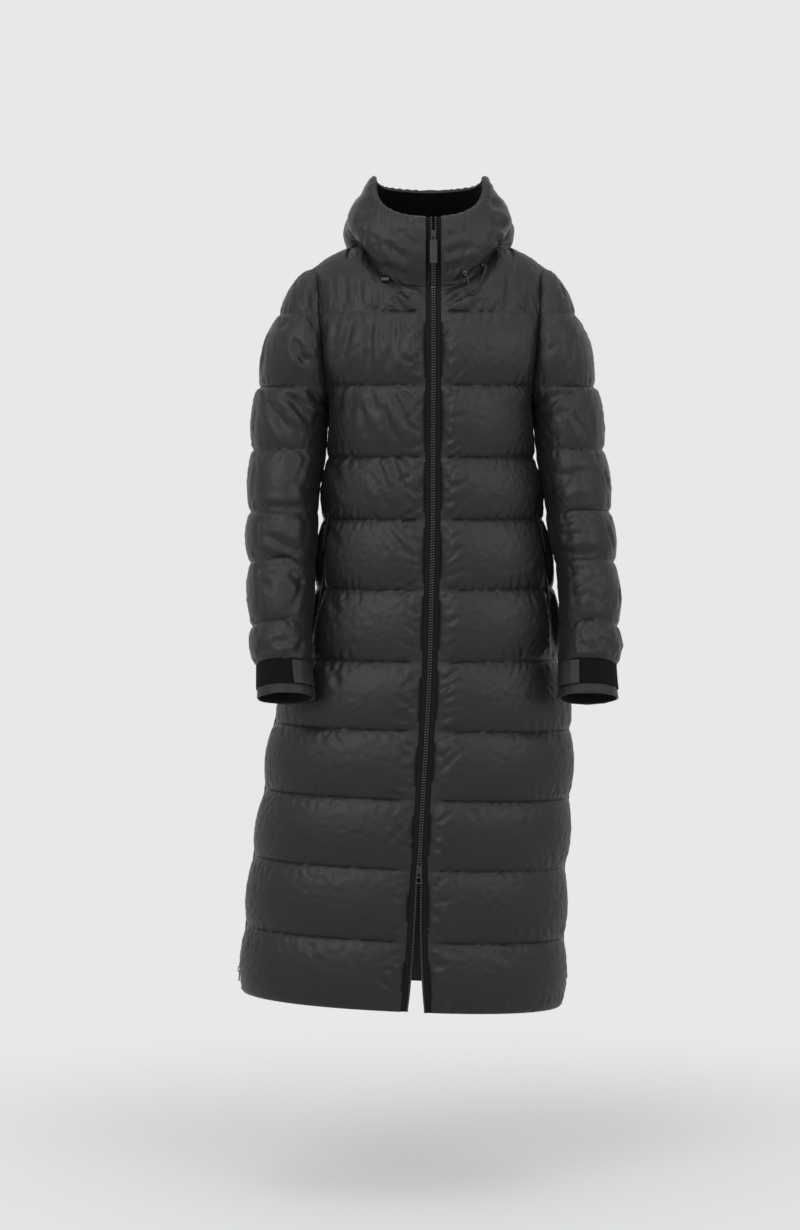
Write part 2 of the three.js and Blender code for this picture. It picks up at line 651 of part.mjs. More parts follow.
// A patch that lies on part of a grid's outside: rows and columns from and to, between two heights above it
function patch(part, rows, columns, low, high) {
  const take = (height) =>
    part.outer
      .slice(rows[0], rows[1] + 1)
      .map((line, i) =>
        line.slice(columns[0], columns[1] + 1).map((point, j) =>
          point.clone().addScaledVector(part.normals[rows[0] + i][columns[0] + j], height),
        ),
      );
  const all = Array.from({ length: rows[1] - rows[0] + 1 }, (row, i) => i);
  return wallBetween(take(high), take(low), all, never);
}

for (const [side, name] of [
  [-1, "right"],
  [1, "left"],
]) {
  const part = cuff(side);
  add("cuff_" + name, part.geometry, "trim");
  // Columns run from the underarm, over the front at a quarter of the way round, to the outer side.
  add("cuff_tab_" + name, patch(part, [1, 3], [1, 4], 2, 4.2), "trim");
  add("cuff_hook_strip_" + name, patch(part, [1, 3], [3, 12], GAP, 1.6), "hook");
}

// Hood and collar
const HOOD_LIFT = [0, 0.06, 0.16, 0.28, 0.4, 0.52, 0.64, 0.76, 0.88, 0.95, 1];
function hoodPoint(panel, side, s, share) {
  const angle = columnAngle(panel, side, s);
  const neck = neckPoint(angle, side);
  const steps = [0, 1, 2, 3, 4, 5].map((k) => ({
    k,
    out: k === 0 ? 0 : lookUp(HOOD, "angle", angle, "out" + k),
    up: k === 0 ? 0 : lookUp(HOOD, "angle", angle, "up" + k),
  }));
  const away = vec(neck.x - body(0, "centre"), neck.y - NECK_Y, 0).normalize();
  const curve = new THREE.CatmullRomCurve3(steps.map(({ out, up }) => vec(out, up, 0)), false, "centripetal");
  const at = curve.getPoint(share);
  const point = neck.clone().addScaledVector(away, at.x);
  point.z += at.y;
  // The front edges keep clear of the zip.
  if (s === 0 && panel === "front") point.x = zipLine(0, "x") + side * (ZIP_HALF + GAP);
  if (panel === "back" && s === 0) point.x = neck.x;
  return point;
}

const hoodColumns = [];
const around = (panel, side) =>
  columnsOf(panel, side)
    .filter(({ s }) => s <= NECK_SHARE)
    .map(({ s }) => ({ panel, side, s }));
hoodColumns.push(...around("front", -1), ...around("back", -1).reverse().slice(1));
hoodColumns.push(...around("back", 1).slice(1), ...around("front", 1).reverse().slice(1));
const hoodBase = HOOD_LIFT.map((share) =>
  hoodColumns.map(({ panel, side, s }) => hoodPoint(panel, side, s, share)),
);
const hoodNormals = gridNormals(hoodBase, never, -1);
for (const [i, share] of HOOD_LIFT.entries())
  for (const end of [0, hoodColumns.length - 1]) hoodNormals[i][end].setX(0).normalize();

// The neck seam: both sides of it are cut along the mean of the hood's and the body's directions.
const LAST_ROW = BODY_ROWS.length - 1;
hoodColumns.forEach(({ panel, side, s }, j) => {
  const owner = panel === "back" ? PANELS.back : side < 0 ? PANELS.front_right : PANELS.front_left;
  const k = owner.columns.findIndex((column) => column.side === side && column.s === s);
  const at = k < 0 ? owner.columns.findIndex((column) => column.s === s) : k;
  const shared = seamNormal(owner.normals[LAST_ROW][at], hoodNormals[0][j]);
  owner.normals[LAST_ROW][at] = shared.clone();
  owner.normals[LAST_ROW - 1][at] = seamNormal(owner.normals[LAST_ROW - 1][at], shared);
  hoodNormals[0][j] = shared;
  const lift = vec(0, 0, 1).addScaledVector(shared, -shared.z).normalize();
  hoodBase[0][j].addScaledVector(lift, panel === "back" ? 3 * GAP : GAP);
});
// The shoulder seam meets the neck seam in one point of both the front and the back.
for (const side of [-1, 1]) {
  const j = hoodColumns.findIndex((column) => column.side === side && column.s === NECK_SHARE);
  const frontPanel = side < 0 ? PANELS.front_right : PANELS.front_left;
  for (const owner of [frontPanel, PANELS.back]) {
    const k = owner.columns.findIndex((column) => column.side === side && column.s === NECK_SHARE);
    owner.normals[LAST_ROW][k] = hoodNormals[0][j].clone();
  }
}

const HOOD_PIECES = [
  { name: "collar_right", from: 0, to: 4 },
  { name: "hood_right", from: 4, to: 10 },
  { name: "hood_back", from: 10, to: 14 },
  { name: "hood_left", from: 14, to: 20 },
  { name: "collar_left", from: 20, to: 24 },
];
const HOOD_THICKNESS = [SEAM_WALL, 3.5, 5.5, 8.5, ...Array(HOOD_LIFT.length - 5).fill(HOOD_WALL), 6];
const hoodOuter = {};
for (const { name, from, to } of HOOD_PIECES) {
  // Half a gap on either side of the seams between the pieces
  const cut = (grid) =>
    grid.map((line) =>
      line.slice(from, to + 1).map((point, n, taken) => {
        const end = n === 0 ? 1 : n === taken.length - 1 ? -1 : 0;
        const atZip = from + n === 0 || from + n === hoodColumns.length - 1;
        if (end === 0 || atZip) return point.clone();
        const along = taken[n + end].clone().sub(point).normalize();
        return point.clone().addScaledVector(along, GAP / 2);
      }),
    );
  const base = cut(hoodBase);
  const normals = hoodNormals.map((line) => line.slice(from, to + 1));
  const outer = moveOut(base, normals, (i) => HOOD_THICKNESS[i]);
  const inner = HOOD_LIFT.map((share, i) => i);
  hoodOuter[name] = outer;
  add(name, wallBetween(outer, base, inner, never), "shell");
}

// The panels' outsides, now that the sleeves and the hood have settled how their seams are cut
for (const part of Object.values(PANELS))
  part.outer = moveOut(part.base, part.normals, (i, j) => {
    const { s } = part.columns[j];
    return SEAM_WALL + bodySwell(part.panel, s, BODY_ROWS[i]);
  });
for (const [name, part] of Object.entries(PANELS)) {
  const inner = INNER_ROWS.map((i) => part.base[i]);
  add(name, wallBetween(part.outer, inner, INNER_ROWS, never), "shell");
}

// The front zip: a tape with teeth along each front edge, from the hem to the top of the collar
function frontTape(side) {
  const panel = side < 0 ? PANELS.front_right : PANELS.front_left;
  const edge = side < 0 ? panel.columns.length - 1 : 0;
  const hoodEdge = side < 0 ? 0 : hoodColumns.length - 1;
  const path = [];
  BODY_ROWS.forEach((row, i) => {
    const share = row - Math.floor(row);
    const kept = [0, 0.36, 0.64].some((wanted) => Math.abs(share - wanted) < 1e-6);
    if (i < LAST_ROW && kept) path.push(panel.base[i][edge]);
  });
  hoodBase.forEach((line) => path.push(line[hoodEdge]));
  const rings = path.map((point, i) => {
    const after = path[Math.min(i + 1, path.length - 1)];
    const before = path[Math.max(i - 1, 0)];
    const along = after.clone().sub(before).setX(0).normalize();
    const out = vec(0, along.z < 0 ? along.z : -along.z, 0);
    out.z = along.y * (along.z < 0 ? -1 : 1);
    const width = TAPE_WIDTH - (point.z > TOP_SLIDER_Z ? PARTED : 0);
    const teeth = width - TEETH.width;
    const section = [
      [0, 0],
      [0, TAPE_THICK],
      [teeth - 0.3, TAPE_THICK],
      [teeth, TEETH.front],
      [width, TEETH.front],
      [width, TEETH.back],
      [teeth, TEETH.back],
      [teeth - 0.3, 0],
    ];
    return section.map(([across, high]) =>
      point
        .clone()
        .add(vec(-side * (GAP + across), 0, 0))
        .addScaledVector(out, high),
    );
  });
  return loft(rings);
}

// A closed body through rings of points
function loft(rings) {
  const out = [];
  const count = rings[0].length;
  for (let i = 0; i + 1 < rings.length; i += 1)
    for (let j = 0; j < count; j += 1) {
      const k = (j + 1) % count;
      out.push([rings[i][j], rings[i][k], rings[i + 1][k]], [rings[i][j], rings[i + 1][k], rings[i + 1][j]]);
    }
  const caps = [
    [rings[0], true],
    [rings.at(-1), false],
  ];
  for (const [ring, flip] of caps) {
    const flat = ring.map((p) => new THREE.Vector2(p.distanceTo(ring[0]), 0));
    const u = ring[2].clone().sub(ring[1]).normalize();
    const n = u.clone().cross(ring[0].clone().sub(ring[1])).normalize();
    const w = n.clone().cross(u);
    ring.forEach((p, i) => flat[i].set(p.clone().sub(ring[1]).dot(u), p.clone().sub(ring[1]).dot(w)));
    for (const [a, b, c] of THREE.ShapeUtils.triangulateShape(flat, [])) {
      const corners = [ring[a], ring[b], ring[c]];
      const area = flat[b].clone().sub(flat[a]).cross(flat[c].clone().sub(flat[a]));
      const whole = THREE.ShapeUtils.area(flat);
      const same = area * whole > 0;
      out.push(same === flip ? corners.reverse() : corners);
    }
  }
  return solidOf(out);
}

for (const [side, name] of [
  [-1, "right"],
  [1, "left"],
])
  add("zip_tape_" + name, frontTape(side), "tape");

// A three.js geometry as a solid that can be joined and cut
function joinable(geometry) {
  geometry.deleteAttribute("normal");
  geometry.deleteAttribute("uv");
  const merged = mergeVertices(geometry, 1e-4);
  const vertProperties = Float32Array.from(merged.attributes.position.array);
  const triVerts = Uint32Array.from(merged.index.array);
  return new wasm.Manifold(new wasm.Mesh({ numProp: 3, vertProperties, triVerts }));
}

// A box from its limits across (x), out of the cloth (y) and up along the zip (z)
function block([x0, x1], [y0, y1], [z0, z1]) {
  const box = new THREE.BoxGeometry(x1 - x0, y1 - y0, z1 - z0);
  return joinable(box.translate((x0 + x1) / 2, (y0 + y1) / 2, (z0 + z1) / 2));
}

// A slider on a zip: its front plate at a height above the cloth, a bail on it, and where the zip's two
// halves part a post and a back plate. The pull hangs in the bail.
function sliderBody(plateAt, post) {
  const w = PLATE.width / 2;
  const l = PLATE.long / 2;
  const face = plateAt + PLATE.thick;
  const b = BAIL.width / 2;
  const h = BAIL.long / 2;
  let made = block([-w, w], [plateAt, face], [-l, l]);
  const hole = block([-b - 1, b + 1], [face, face + BAIL.high - BAIL.wire], [-h + BAIL.wire, h - BAIL.wire]);
  made = made.add(block([-b, b], [face - 0.1, face + BAIL.high], [-h, h]).subtract(hole));
  if (post) {
    const z = [post * 1.5, post * 5.5].sort((p, q) => p - q);
    made = made.add(block([-1.1, 1.1], [TEETH.back - 1, plateAt + 0.1], z));
    made = made.add(block([-w, w], [TEETH.back - 2.4, TEETH.back - 0.9], [-l, l]));
  }
  return made;
}

// The place of the pull's hinge in the slider's own frame
const pivotAt = (plateAt) => [0, plateAt + PLATE.thick + 1.9, -BAIL.long / 2 + BAIL.wire + WIRE / 2 + 0.5];

// A wire link with a ring or a cloth tab on it, hanging from the pivot at its origin
const TAB_THICK = 2.2;
function pullBody(kind, width, long) {
  const r = WIRE / 2;
  const x = 3.7;
  const drop = 9;
  let made = block([-x, x], [-r, r], [-r, r]).add(block([-x, x], [-r, r], [-drop - r, -drop + r]));
  for (const side of [-1, 1]) {
    const limits = [side * x, side * (x - WIRE)].sort((p, q) => p - q);
    made = made.add(block(limits, [-r, r], [-drop - r, r]));
  }
  if (kind === "ring") {
    const ringRadius = width / 2 - 0.9;
    const ring = new THREE.TorusGeometry(ringRadius, 0.9, 8, 16).rotateX(Math.PI / 2);
    return made.add(joinable(ring.translate(0, 0, -drop - ringRadius)));
  }
  const w = width / 2;
  const outline = [
    [-w, -long + 2],
    [-w + 2, -long],
    [w - 2, -long],
    [w, -long + 2],
    [w, -8],
    [w - 1.5, -6.5],
    [-w + 1.5, -6.5],
    [-w, -8],
  ];
  const shape = new THREE.Shape(outline.map(([across, high]) => new THREE.Vector2(across, high)));
  // The tab closes round the link's lower bar, as it is stitched over it.
  const tab = new THREE.ExtrudeGeometry(shape, { depth: TAB_THICK, bevelEnabled: false });
  return made.add(joinable(tab.translate(0, 0, -TAB_THICK / 2).rotateX(Math.PI / 2)));
}

// Places a manifold solid at a point of the cloth: y out along the normal, z up along the zip
function placed(solid, origin, out, up) {
  const z = up.clone().normalize();
  const y = out.clone().addScaledVector(z, -out.dot(z)).normalize();
  const x = y.clone().cross(z);
  const matrix = new THREE.Matrix4().makeBasis(x, y, z).setPosition(origin);
  const mesh = solid.getMesh();
  const geometry = new THREE.BufferGeometry();
  geometry.setAttribute("position", new THREE.BufferAttribute(Float32Array.from(mesh.vertProperties), 3));
  geometry.setIndex([...mesh.triVerts]);
  return geometry.applyMatrix4(matrix);
}

function slider(name, plateAt, post, pull, origin, out, up) {
  add(name + "_slider", placed(sliderBody(plateAt, post), origin, out, up), "metal");
  const pivot = pivotAt(plateAt);
  const body = pullBody(pull.kind, pull.width, pull.long).translate(pivot);
  add(name + "_pull", placed(body, origin, out, up), pull.kind === "ring" ? "metal" : "tape");
}

// The two sliders of the front zip
function zipPoint(z) {
  if (z < NECK_FRONT_Z) return bodySkin(zipLine(z, "x"), z, -1);
  const first = hoodBase.map((line) => line[0]);
  const i = Math.max(0, first.findIndex((p, n) => n + 1 < first.length && first[n + 1].z > z));
  const t = (z - first[i].z) / (first[i + 1].z - first[i].z);
  return vec(zipLine(z, "x"), mix(first[i].y, first[i + 1].y, t), z);
}
for (const [name, z, post, pull] of [
  ["front_top", TOP_SLIDER_Z, 1, { kind: "tab", width: 12, long: 46 }],
  ["front_bottom", BOTTOM_SLIDER_Z, -1, { kind: "ring", width: 12 }],
]) {
  const up = zipPoint(z + 6).sub(zipPoint(z - 6));
  const out = vec(0, -up.z, up.y);
  slider(name, TEETH.front + 0.5, post, pull, zipPoint(z), out, up);
}

// Pocket zips in the grooves of the fronts
const rowIndex = (wanted) => BODY_ROWS.findIndex((row) => Math.abs(row - wanted) < 1e-6);
for (const [name, side] of [
  ["right", -1],
  ["left", 1],
]) {
  const panel = side < 0 ? PANELS.front_right : PANELS.front_left;
  const columns = [POCKET.from, POCKET.to]
    .map((share) => panel.columns.findIndex(({ s }) => s === share))
    .sort((a, b) => a - b);
  const rows = [rowIndex(POCKET.bottom), rowIndex(POCKET.top)];
  add("pocket_zip_" + name, patch(panel, rows, columns, GAP, 2), "tape");
  const k = rowIndex(POCKET_SLIDER_ROW);
  const middle = (i) => mix3(panel.outer[i][columns[0]], panel.outer[i][columns[1]], 0.5);
  const out = panel.normals[k][columns[0]].clone().add(panel.normals[k][columns[1]]);
  const up = middle(k).sub(middle(k - 3));
  const origin = mix3(middle(k - 1), middle(k), 0.5);
  slider("pocket_" + name, 2.9, 0, { kind: "tab", width: 8, long: 44 }, origin, out, up);
}

// Zips down the side seams, from the hip to the hem
for (const [name, side] of [
  ["right", -1],
  ["left", 1],
]) {
  const panel = side < 0 ? PANELS.front_right : PANELS.front_left;
  const frontEnd = side < 0 ? 0 : panel.columns.length - 1;
  const frontNext = side < 0 ? 1 : panel.columns.length - 2;
  const backEnd = side < 0 ? 0 : PANELS.back.columns.length - 1;
  const backNext = side < 0 ? 1 : PANELS.back.columns.length - 2;
  const rows = rowIndex(SIDE_ZIPS[name].top) + 1;
  const line = (height) =>
    Array.from({ length: rows }, (row, i) => {
      const points = [
        [panel.outer[i][frontNext], panel.normals[i][frontNext]],
        [mix3(panel.outer[i][frontEnd], PANELS.back.outer[i][backEnd], 0.5), vec(side, 0, 0)],
        [PANELS.back.outer[i][backNext], PANELS.back.normals[i][backNext]],
      ];
      const made = points.map(([point, normal]) => point.clone().addScaledVector(normal, height));
      return side < 0 ? made.reverse() : made;
    });
  const all = Array.from({ length: rows }, (row, i) => i);
  add("side_zip_" + name, wallBetween(line(2), line(GAP), all, never), "tape");
  const z = SIDE_ZIPS[name].slider;
  const at = (height) => {
    const x = sideX(height, side) + side * SEAM_WALL;
    return vec(x, MID_Y, height);
  };
  const up = at(z + 10).sub(at(z - 10));
  slider("side_" + name, 2.9, 0, { kind: "ring", width: 10 }, at(z), vec(side, 0, 0), up);
}

// The hood's drawcord: a loop that hangs out of two eyelets on the left of the collar, and a cord lock that
// lies below the collar on the right
const EYELET = { radius: 4, thick: 1.6, row: 2, columns: [1.6, 3.2] }; // columns counted from the front edge
for (const [n, column] of EYELET.columns.entries()) {
  const line = hoodOuter.collar_left[EYELET.row];
  const j = line.length - 1 - Math.ceil(column);
  const point = mix3(line[j], line[j + 1], Math.ceil(column) - column);
  const out = hoodNormals[EYELET.row][HOOD_PIECES.at(-1).from + j];
  const disc = new THREE.CylinderGeometry(EYELET.radius, EYELET.radius, EYELET.thick, 14);
  disc.rotateY(Math.PI / 2).translate(0, EYELET.thick / 2, 0);
  const origin = point.clone().addScaledVector(out, 1.8);
  add("hood_eyelet_" + (n + 1), placed(joinable(disc), origin, out, vec(0, 0, 1)), "metal");
}
const CORD_RADIUS = 1.5;
const CORD_ROUTE = [
  vec(47.9, -90.85, -26.4),
  vec(49.1, -93.8, -26.8),
  vec(51, -97, -31.5),
  vec(53, -98.6, -41),
  vec(55, -99.3, -52),
  vec(58, -99.8, -59.5),
  vec(62.5, -99, -61),
  vec(67, -96, -55),
  vec(72, -90.5, -43),
  vec(77.5, -84.5, -29),
  vec(81.5, -79.5, -18),
  vec(81.1, -77.3, -13.4),
  vec(78.1, -76.45, -13),
];
const cordCurve = new THREE.CatmullRomCurve3(CORD_ROUTE, false, "centripetal");
const cordFrames = cordCurve.computeFrenetFrames(24, false);
add(
  "hood_cord_left",
  loft(
    cordFrames.tangents.map((tangent, i) => {
      const centre = cordCurve.getPointAt(i / 24);
      return [0, 1, 2, 3, 4, 5].map((k) =>
        centre
          .clone()
          .addScaledVector(cordFrames.normals[i], CORD_RADIUS * Math.cos((Math.PI * k) / 3))
          .addScaledVector(cordFrames.binormals[i], CORD_RADIUS * Math.sin((Math.PI * k) / 3)),
      );
    }),
  ),
  "cord",
);
const LOCK = { radius: 3.5, long: 12 };
const lockColumn = PANELS.front_right.columns.findIndex(({ s }) => s === 0.23);
const lockPoint = PANELS.front_right.outer[LAST_ROW - 1][lockColumn];
const lockOut = PANELS.front_right.normals[LAST_ROW - 1][lockColumn];
const barrel = new THREE.CylinderGeometry(LOCK.radius, LOCK.radius, LOCK.long, 14).rotateZ(Math.PI / 2);
const lockOrigin = lockPoint.clone().addScaledVector(lockOut, LOCK.radius + 1.6).add(vec(0, 0, 2));
add("hood_cord_lock_right", placed(joinable(barrel), lockOrigin, lockOut, vec(0, 0, 1)), "metal");

export default coat;
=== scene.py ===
"""The looks of a long hooded puffer coat, worn and hollow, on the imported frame. +Z is up, the front faces -Y
and the wearer's left is +X. Tables and shapes are in millimetres, and meshes are made in metres."""

import json
import math

import bmesh
import bpy
import numpy as np
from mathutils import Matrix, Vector, noise

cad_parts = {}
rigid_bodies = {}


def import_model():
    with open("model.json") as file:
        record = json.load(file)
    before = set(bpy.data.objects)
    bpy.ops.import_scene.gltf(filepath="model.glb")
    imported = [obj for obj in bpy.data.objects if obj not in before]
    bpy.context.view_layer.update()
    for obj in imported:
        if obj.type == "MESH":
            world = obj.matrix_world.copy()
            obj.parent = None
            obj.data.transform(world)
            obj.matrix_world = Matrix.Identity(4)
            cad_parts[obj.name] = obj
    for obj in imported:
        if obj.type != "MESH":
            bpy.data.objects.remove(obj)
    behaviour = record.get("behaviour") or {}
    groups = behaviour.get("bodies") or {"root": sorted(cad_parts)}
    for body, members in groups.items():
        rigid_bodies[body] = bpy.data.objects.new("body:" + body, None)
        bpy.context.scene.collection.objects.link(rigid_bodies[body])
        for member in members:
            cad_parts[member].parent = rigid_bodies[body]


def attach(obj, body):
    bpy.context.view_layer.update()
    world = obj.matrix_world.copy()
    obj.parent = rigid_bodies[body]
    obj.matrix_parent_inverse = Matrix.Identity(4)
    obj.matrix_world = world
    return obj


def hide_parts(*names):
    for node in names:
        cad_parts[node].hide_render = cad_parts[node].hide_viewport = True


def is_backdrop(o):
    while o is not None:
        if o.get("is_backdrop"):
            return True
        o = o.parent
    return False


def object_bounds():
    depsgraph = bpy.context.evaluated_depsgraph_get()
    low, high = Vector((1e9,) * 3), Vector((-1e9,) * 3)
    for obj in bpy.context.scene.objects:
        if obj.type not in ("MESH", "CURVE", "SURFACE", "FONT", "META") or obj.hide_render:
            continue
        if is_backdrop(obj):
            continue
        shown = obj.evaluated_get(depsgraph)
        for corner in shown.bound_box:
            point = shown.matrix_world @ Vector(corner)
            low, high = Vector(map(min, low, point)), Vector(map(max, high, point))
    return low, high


for thing in list(bpy.data.objects):
    bpy.data.objects.remove(thing)
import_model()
cad_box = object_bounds()
MM = 0.001


def table(names, rows):
    """Named columns of a table, each as an array."""
    return dict(zip(names.split(), np.array(rows, float).T))


def place(name, data):
    """A new object in the scene."""
    thing = bpy.data.objects.new(name, data)
    bpy.context.scene.collection.objects.link(thing)
    return thing


def rounded(mesh, degrees):
    """Smooth shading, but for edges sharper than an angle."""
    mesh.polygons.foreach_set("use_smooth", [True] * len(mesh.polygons))
    mesh.set_sharp_from_angle(angle=math.radians(degrees))


# The coat's sizes, as in the part's source
SEAM_WALL = 3.0
GAP = 0.3
BODY_PUFF = 12.0
SLEEVE_PUFF = 9.0
ZIP_HALF = 12.0
TAPE_WIDTH = 11.85
SHOULDER = 190.0
NECK_HALF = 95.0
NECK_FRONT_Z = -48.0
NECK_SIDE_Z = 25.0
NECK_BACK_Z = 8.0
NECK_Y = -15.0
MID_Y = 5.0
DOME_Z = -200.0
SIDE_POWER = 2.3
NECK_POWER = 2.6
BODY_SEAMS = np.array([-1193, -1083, -969, -859, -750, -641, -528, -417, -318, -204, -88], float)
YOKE_BAND = len(BODY_SEAMS) - 1
SLEEVE_SEAMS = np.array([-648, -587, -486, -405, -305, -204], float)
ARMPIT_ROW = 8.64
NECK_SHARE = 0.5
UNDERARM_STEP = 7.0
SIDE_BORDER = 9.0
POCKET = {"from": 0.74, "to": 0.78, "bottom": 5.36, "top": 7.13}  # shares of the front's width, and rows
SIDE_ZIP_TOP = {"right": 4.13, "left": 3.36}  # rows
TOP_SLIDER_Z = 33.0
PARTED = 1.5
ZIP_REACH = 17.0  # how soon the padding is full beside the front zip
FRONT_WIDE = 300.0  # a front's usual width, which turns shares across it into distances

BODY = table(
    "z centre half front back",
    [
        (-1200, -53, 257, 151, 153),
        (-1095, -48, 255, 151, 153),
        (-1016, -44, 251, 150, 152),
        (-938, -37, 248, 149, 151),
        (-860, -28, 243, 147, 150),
        (-780, -22, 239, 144, 148),
        (-723, -17, 231, 141, 146),
        (-690, -14, 219, 139, 144),
        (-641, -7, 206, 135, 141),
        (-528, 1, 188, 128, 134),
        (-417, -2, 174, 123, 129),
        (-330, -5, 164, 121, 128),
        (-245, -6, 158, 122, 129),
        (-210, -7, 174, 122, 129),
        (-160, -8, 192, 122, 129),
        (-110, -8, 200, 121, 128),
        (40, -8, 202, 120, 127),
    ],
)
ARMHOLE = table(
    "z half",
    [(-245, 158), (-210, 163), (-160, 169), (-115, 173), (-77, 179), (-48, 186), (-16, 190)],
)
ZIP_LINE = table(
    "z x half",
    [
        (-1200, -30, 25),
        (-1142, -29, 20),
        (-1083, -28, 16.5),
        (-1020, -26.5, 14.5),
        (-975, -25, 13.7),
        (-950, -24, ZIP_HALF),
        (-857, -19, ZIP_HALF),
        (-750, -13, ZIP_HALF),
        (-641, -8, ZIP_HALF),
        (-385, -3, ZIP_HALF),
        (80, -2, ZIP_HALF),
    ],
)
RISE = table("z rise", [(-1200, 12), (-750, 6), (-600, 0), (80, 0)])
SLEEVE = {
    -1: table(
        "z inner outer y half lean",
        [
            (-700, 190, 277, -138, 37, 0.3),
            (-648, 199, 278, -116, 43, 0.3),
            (-606, 199, 284, -98, 46, 0.3),
            (-547, 196, 287, -78, 50, 0.28),
            (-489, 194, 290, -58, 54, 0.2),
            (-431, 191, 292, -42, 58, 0.1),
            (-372, 189, 290, -26, 62, 0.05),
            (-305, 177, 288, -12, 66, 0),
            (-270, 174.5, 285, -3, 71, 0),
            (-245, 164.3, 283, MID_Y, 75, 0),
        ],
    ),
    1: table(
        "z inner outer y half lean",
        [
            (-700, 196, 286, -138, 37, 0.3),
            (-648, 199, 283, -116, 43, 0.3),
            (-606, 203, 286, -98, 46, 0.3),
            (-547, 203, 286, -78, 50, 0.28),
            (-489, 198, 283, -58, 54, 0.2),
            (-431, 186.5, 279, -42, 58, 0.1),
            (-372, 180, 274, -26, 62, 0.05),
            (-305, 167.5, 268, -12, 66, 0),
            (-270, 164, 264, -3, 71, 0),
            (-245, 152.3, 261, MID_Y, 75, 0),
        ],
    ),
}
CROWN = table(
    "z right left slack",
    [
        (-245, 283, 261, 75),
        (-198, 276, 253, 50),
        (-140, 265, 242, 34),
        (-101, 251, 229, 26),
        (-63, 234, 213, 18),
        (-34, 214, 194, 8),
        (-17, 198, 182, 0),
    ],
)
HOOD = table(
    "angle out1 up1 out2 up2 out3 up3 out4 up4 out5 up5",
    [
        (0, 3, 20, 6, 42, 7, 64, 3, 88, -3, 110),
        (45, 6, 22, 12, 44, 12, 64, 4, 87, -6, 110),
        (75, 3, 23, 20, 40, 20, 58, 3, 84, -9, 110),
        (100, 4, 25, 32, 32, 30, 50, 5, 80, -11, 110),
        (130, 26, 21, 56, 18, 66, 38, 40, 78, 2, 113),
        (155, 28, 19, 80, 0, 104, 18, 82, 66, 24, 112),
        (180, 28, 17, 84, -8, 122, 8, 104, 58, 34, 110),
    ],
)
CORD_ROUTE = [
    (47.9, -90.85, -26.4),
    (49.1, -93.8, -26.8),
    (51, -97, -31.5),
    (53, -98.6, -41),
    (55, -99.3, -52),
    (58, -99.8, -59.5),
    (62.5, -99, -61),
    (67, -96, -55),
    (72, -90.5, -43),
    (77.5, -84.5, -29),
    (81.5, -79.5, -18),
    (81.1, -77.3, -13.4),
    (78.1, -76.45, -13),
]

# Camera, as the photograph was taken: almost level, a little below the waist, looking down slightly
CAMERA = {"at": (-55, -4700, -387), "down": 2.25, "lens": 84.91}
camera_data = bpy.data.cameras.new("camera")
camera_data.sensor_width = 36
camera_data.lens = CAMERA["lens"]
camera = place("camera", camera_data)
camera.location = Vector(CAMERA["at"]) * MM
camera.rotation_euler = (math.radians(90 - CAMERA["down"]), 0, 0)
bpy.context.scene.camera = camera


def look_up(rows, key, at, column):
    """Reads a table with a smooth curve through its rows, as the part's source does."""
    keys = rows[key]
    values = rows[column]
    at = np.clip(np.asarray(at, float), keys[0], keys[-1])
    i = np.clip(np.searchsorted(keys, at, side="right") - 1, 0, len(keys) - 2)
    width = np.diff(keys)
    slope = np.diff(values) / width
    before = slope[:-1]
    after = slope[1:]
    total = np.where(before + after == 0, 1, before + after)
    inner = np.where(before * after <= 0, 0, 2 * before * after / total)
    bend = np.concatenate([slope[:1], inner, slope[-1:]])
    t = (at - keys[i]) / width[i]
    return (
        (2 * t**3 - 3 * t**2 + 1) * values[i]
        + (t**3 - 2 * t**2 + t) * width[i] * bend[i]
        + (-2 * t**3 + 3 * t**2) * values[i + 1]
        + (t**3 - t**2) * width[i] * bend[i + 1]
    )


def body(z, column):
    return look_up(BODY, "z", z, column)


def zip_line(z, column):
    return look_up(ZIP_LINE, "z", z, column)


def mix(a, b, t):
    return a + (b - a) * t


def smooth(t):
    t = np.clip(t, 0, 1)
    return t * t * (3 - 2 * t)


def unit(v):
    return v / np.maximum(np.linalg.norm(v, axis=-1, keepdims=True), 1e-9)


def run_of(line, axis=0):
    """Distances along lines of points, averaged over the lines where there are several."""
    steps = np.linalg.norm(np.diff(line, axis=axis), axis=-1)
    if steps.ndim > 1:
        steps = steps.mean(1 - axis)
    return np.concatenate([[0], np.cumsum(steps)])


def across_of(grid):
    """Distance of each point of a grid from the first of its row, along the row."""
    return np.cumsum(np.linalg.norm(np.diff(grid, axis=1, prepend=grid[:, :1]), axis=-1), axis=1)


def from_ends(count):
    """Steps from each of a number of places to the nearer end."""
    return np.minimum(np.arange(count), np.arange(count)[::-1])


def ridge_z(distance):
    past = np.maximum(0, distance - NECK_HALF)
    return NECK_SIDE_Z - 0.2 * past - 0.0025 * past * past


def body_skin(x, z, facing):
    """Points of the body's plain inside."""
    distance = np.abs(x - body(z, "centre"))
    share = np.minimum(1, distance / body(z, "half"))
    across = np.maximum(0, 1 - share**SIDE_POWER) ** (1 / SIDE_POWER)
    climb = np.clip((z - DOME_Z) / (ridge_z(distance) - DOME_Z), 0, 1)
    depth = np.where(np.asarray(facing) < 0, body(z, "front"), body(z, "back"))
    y = MID_Y + facing * depth * across * np.sqrt(np.maximum(0, 1 - climb * climb))
    return np.stack(np.broadcast_arrays(x, y, z), axis=-1)


def level_z(row):
    row = np.asarray(row, float)
    band = np.clip(np.floor(row), 0, YOKE_BAND - 1).astype(int)
    return mix(BODY_SEAMS[band], BODY_SEAMS[band + 1], row - band)


ARMPIT_Z = float(level_z(ARMPIT_ROW))


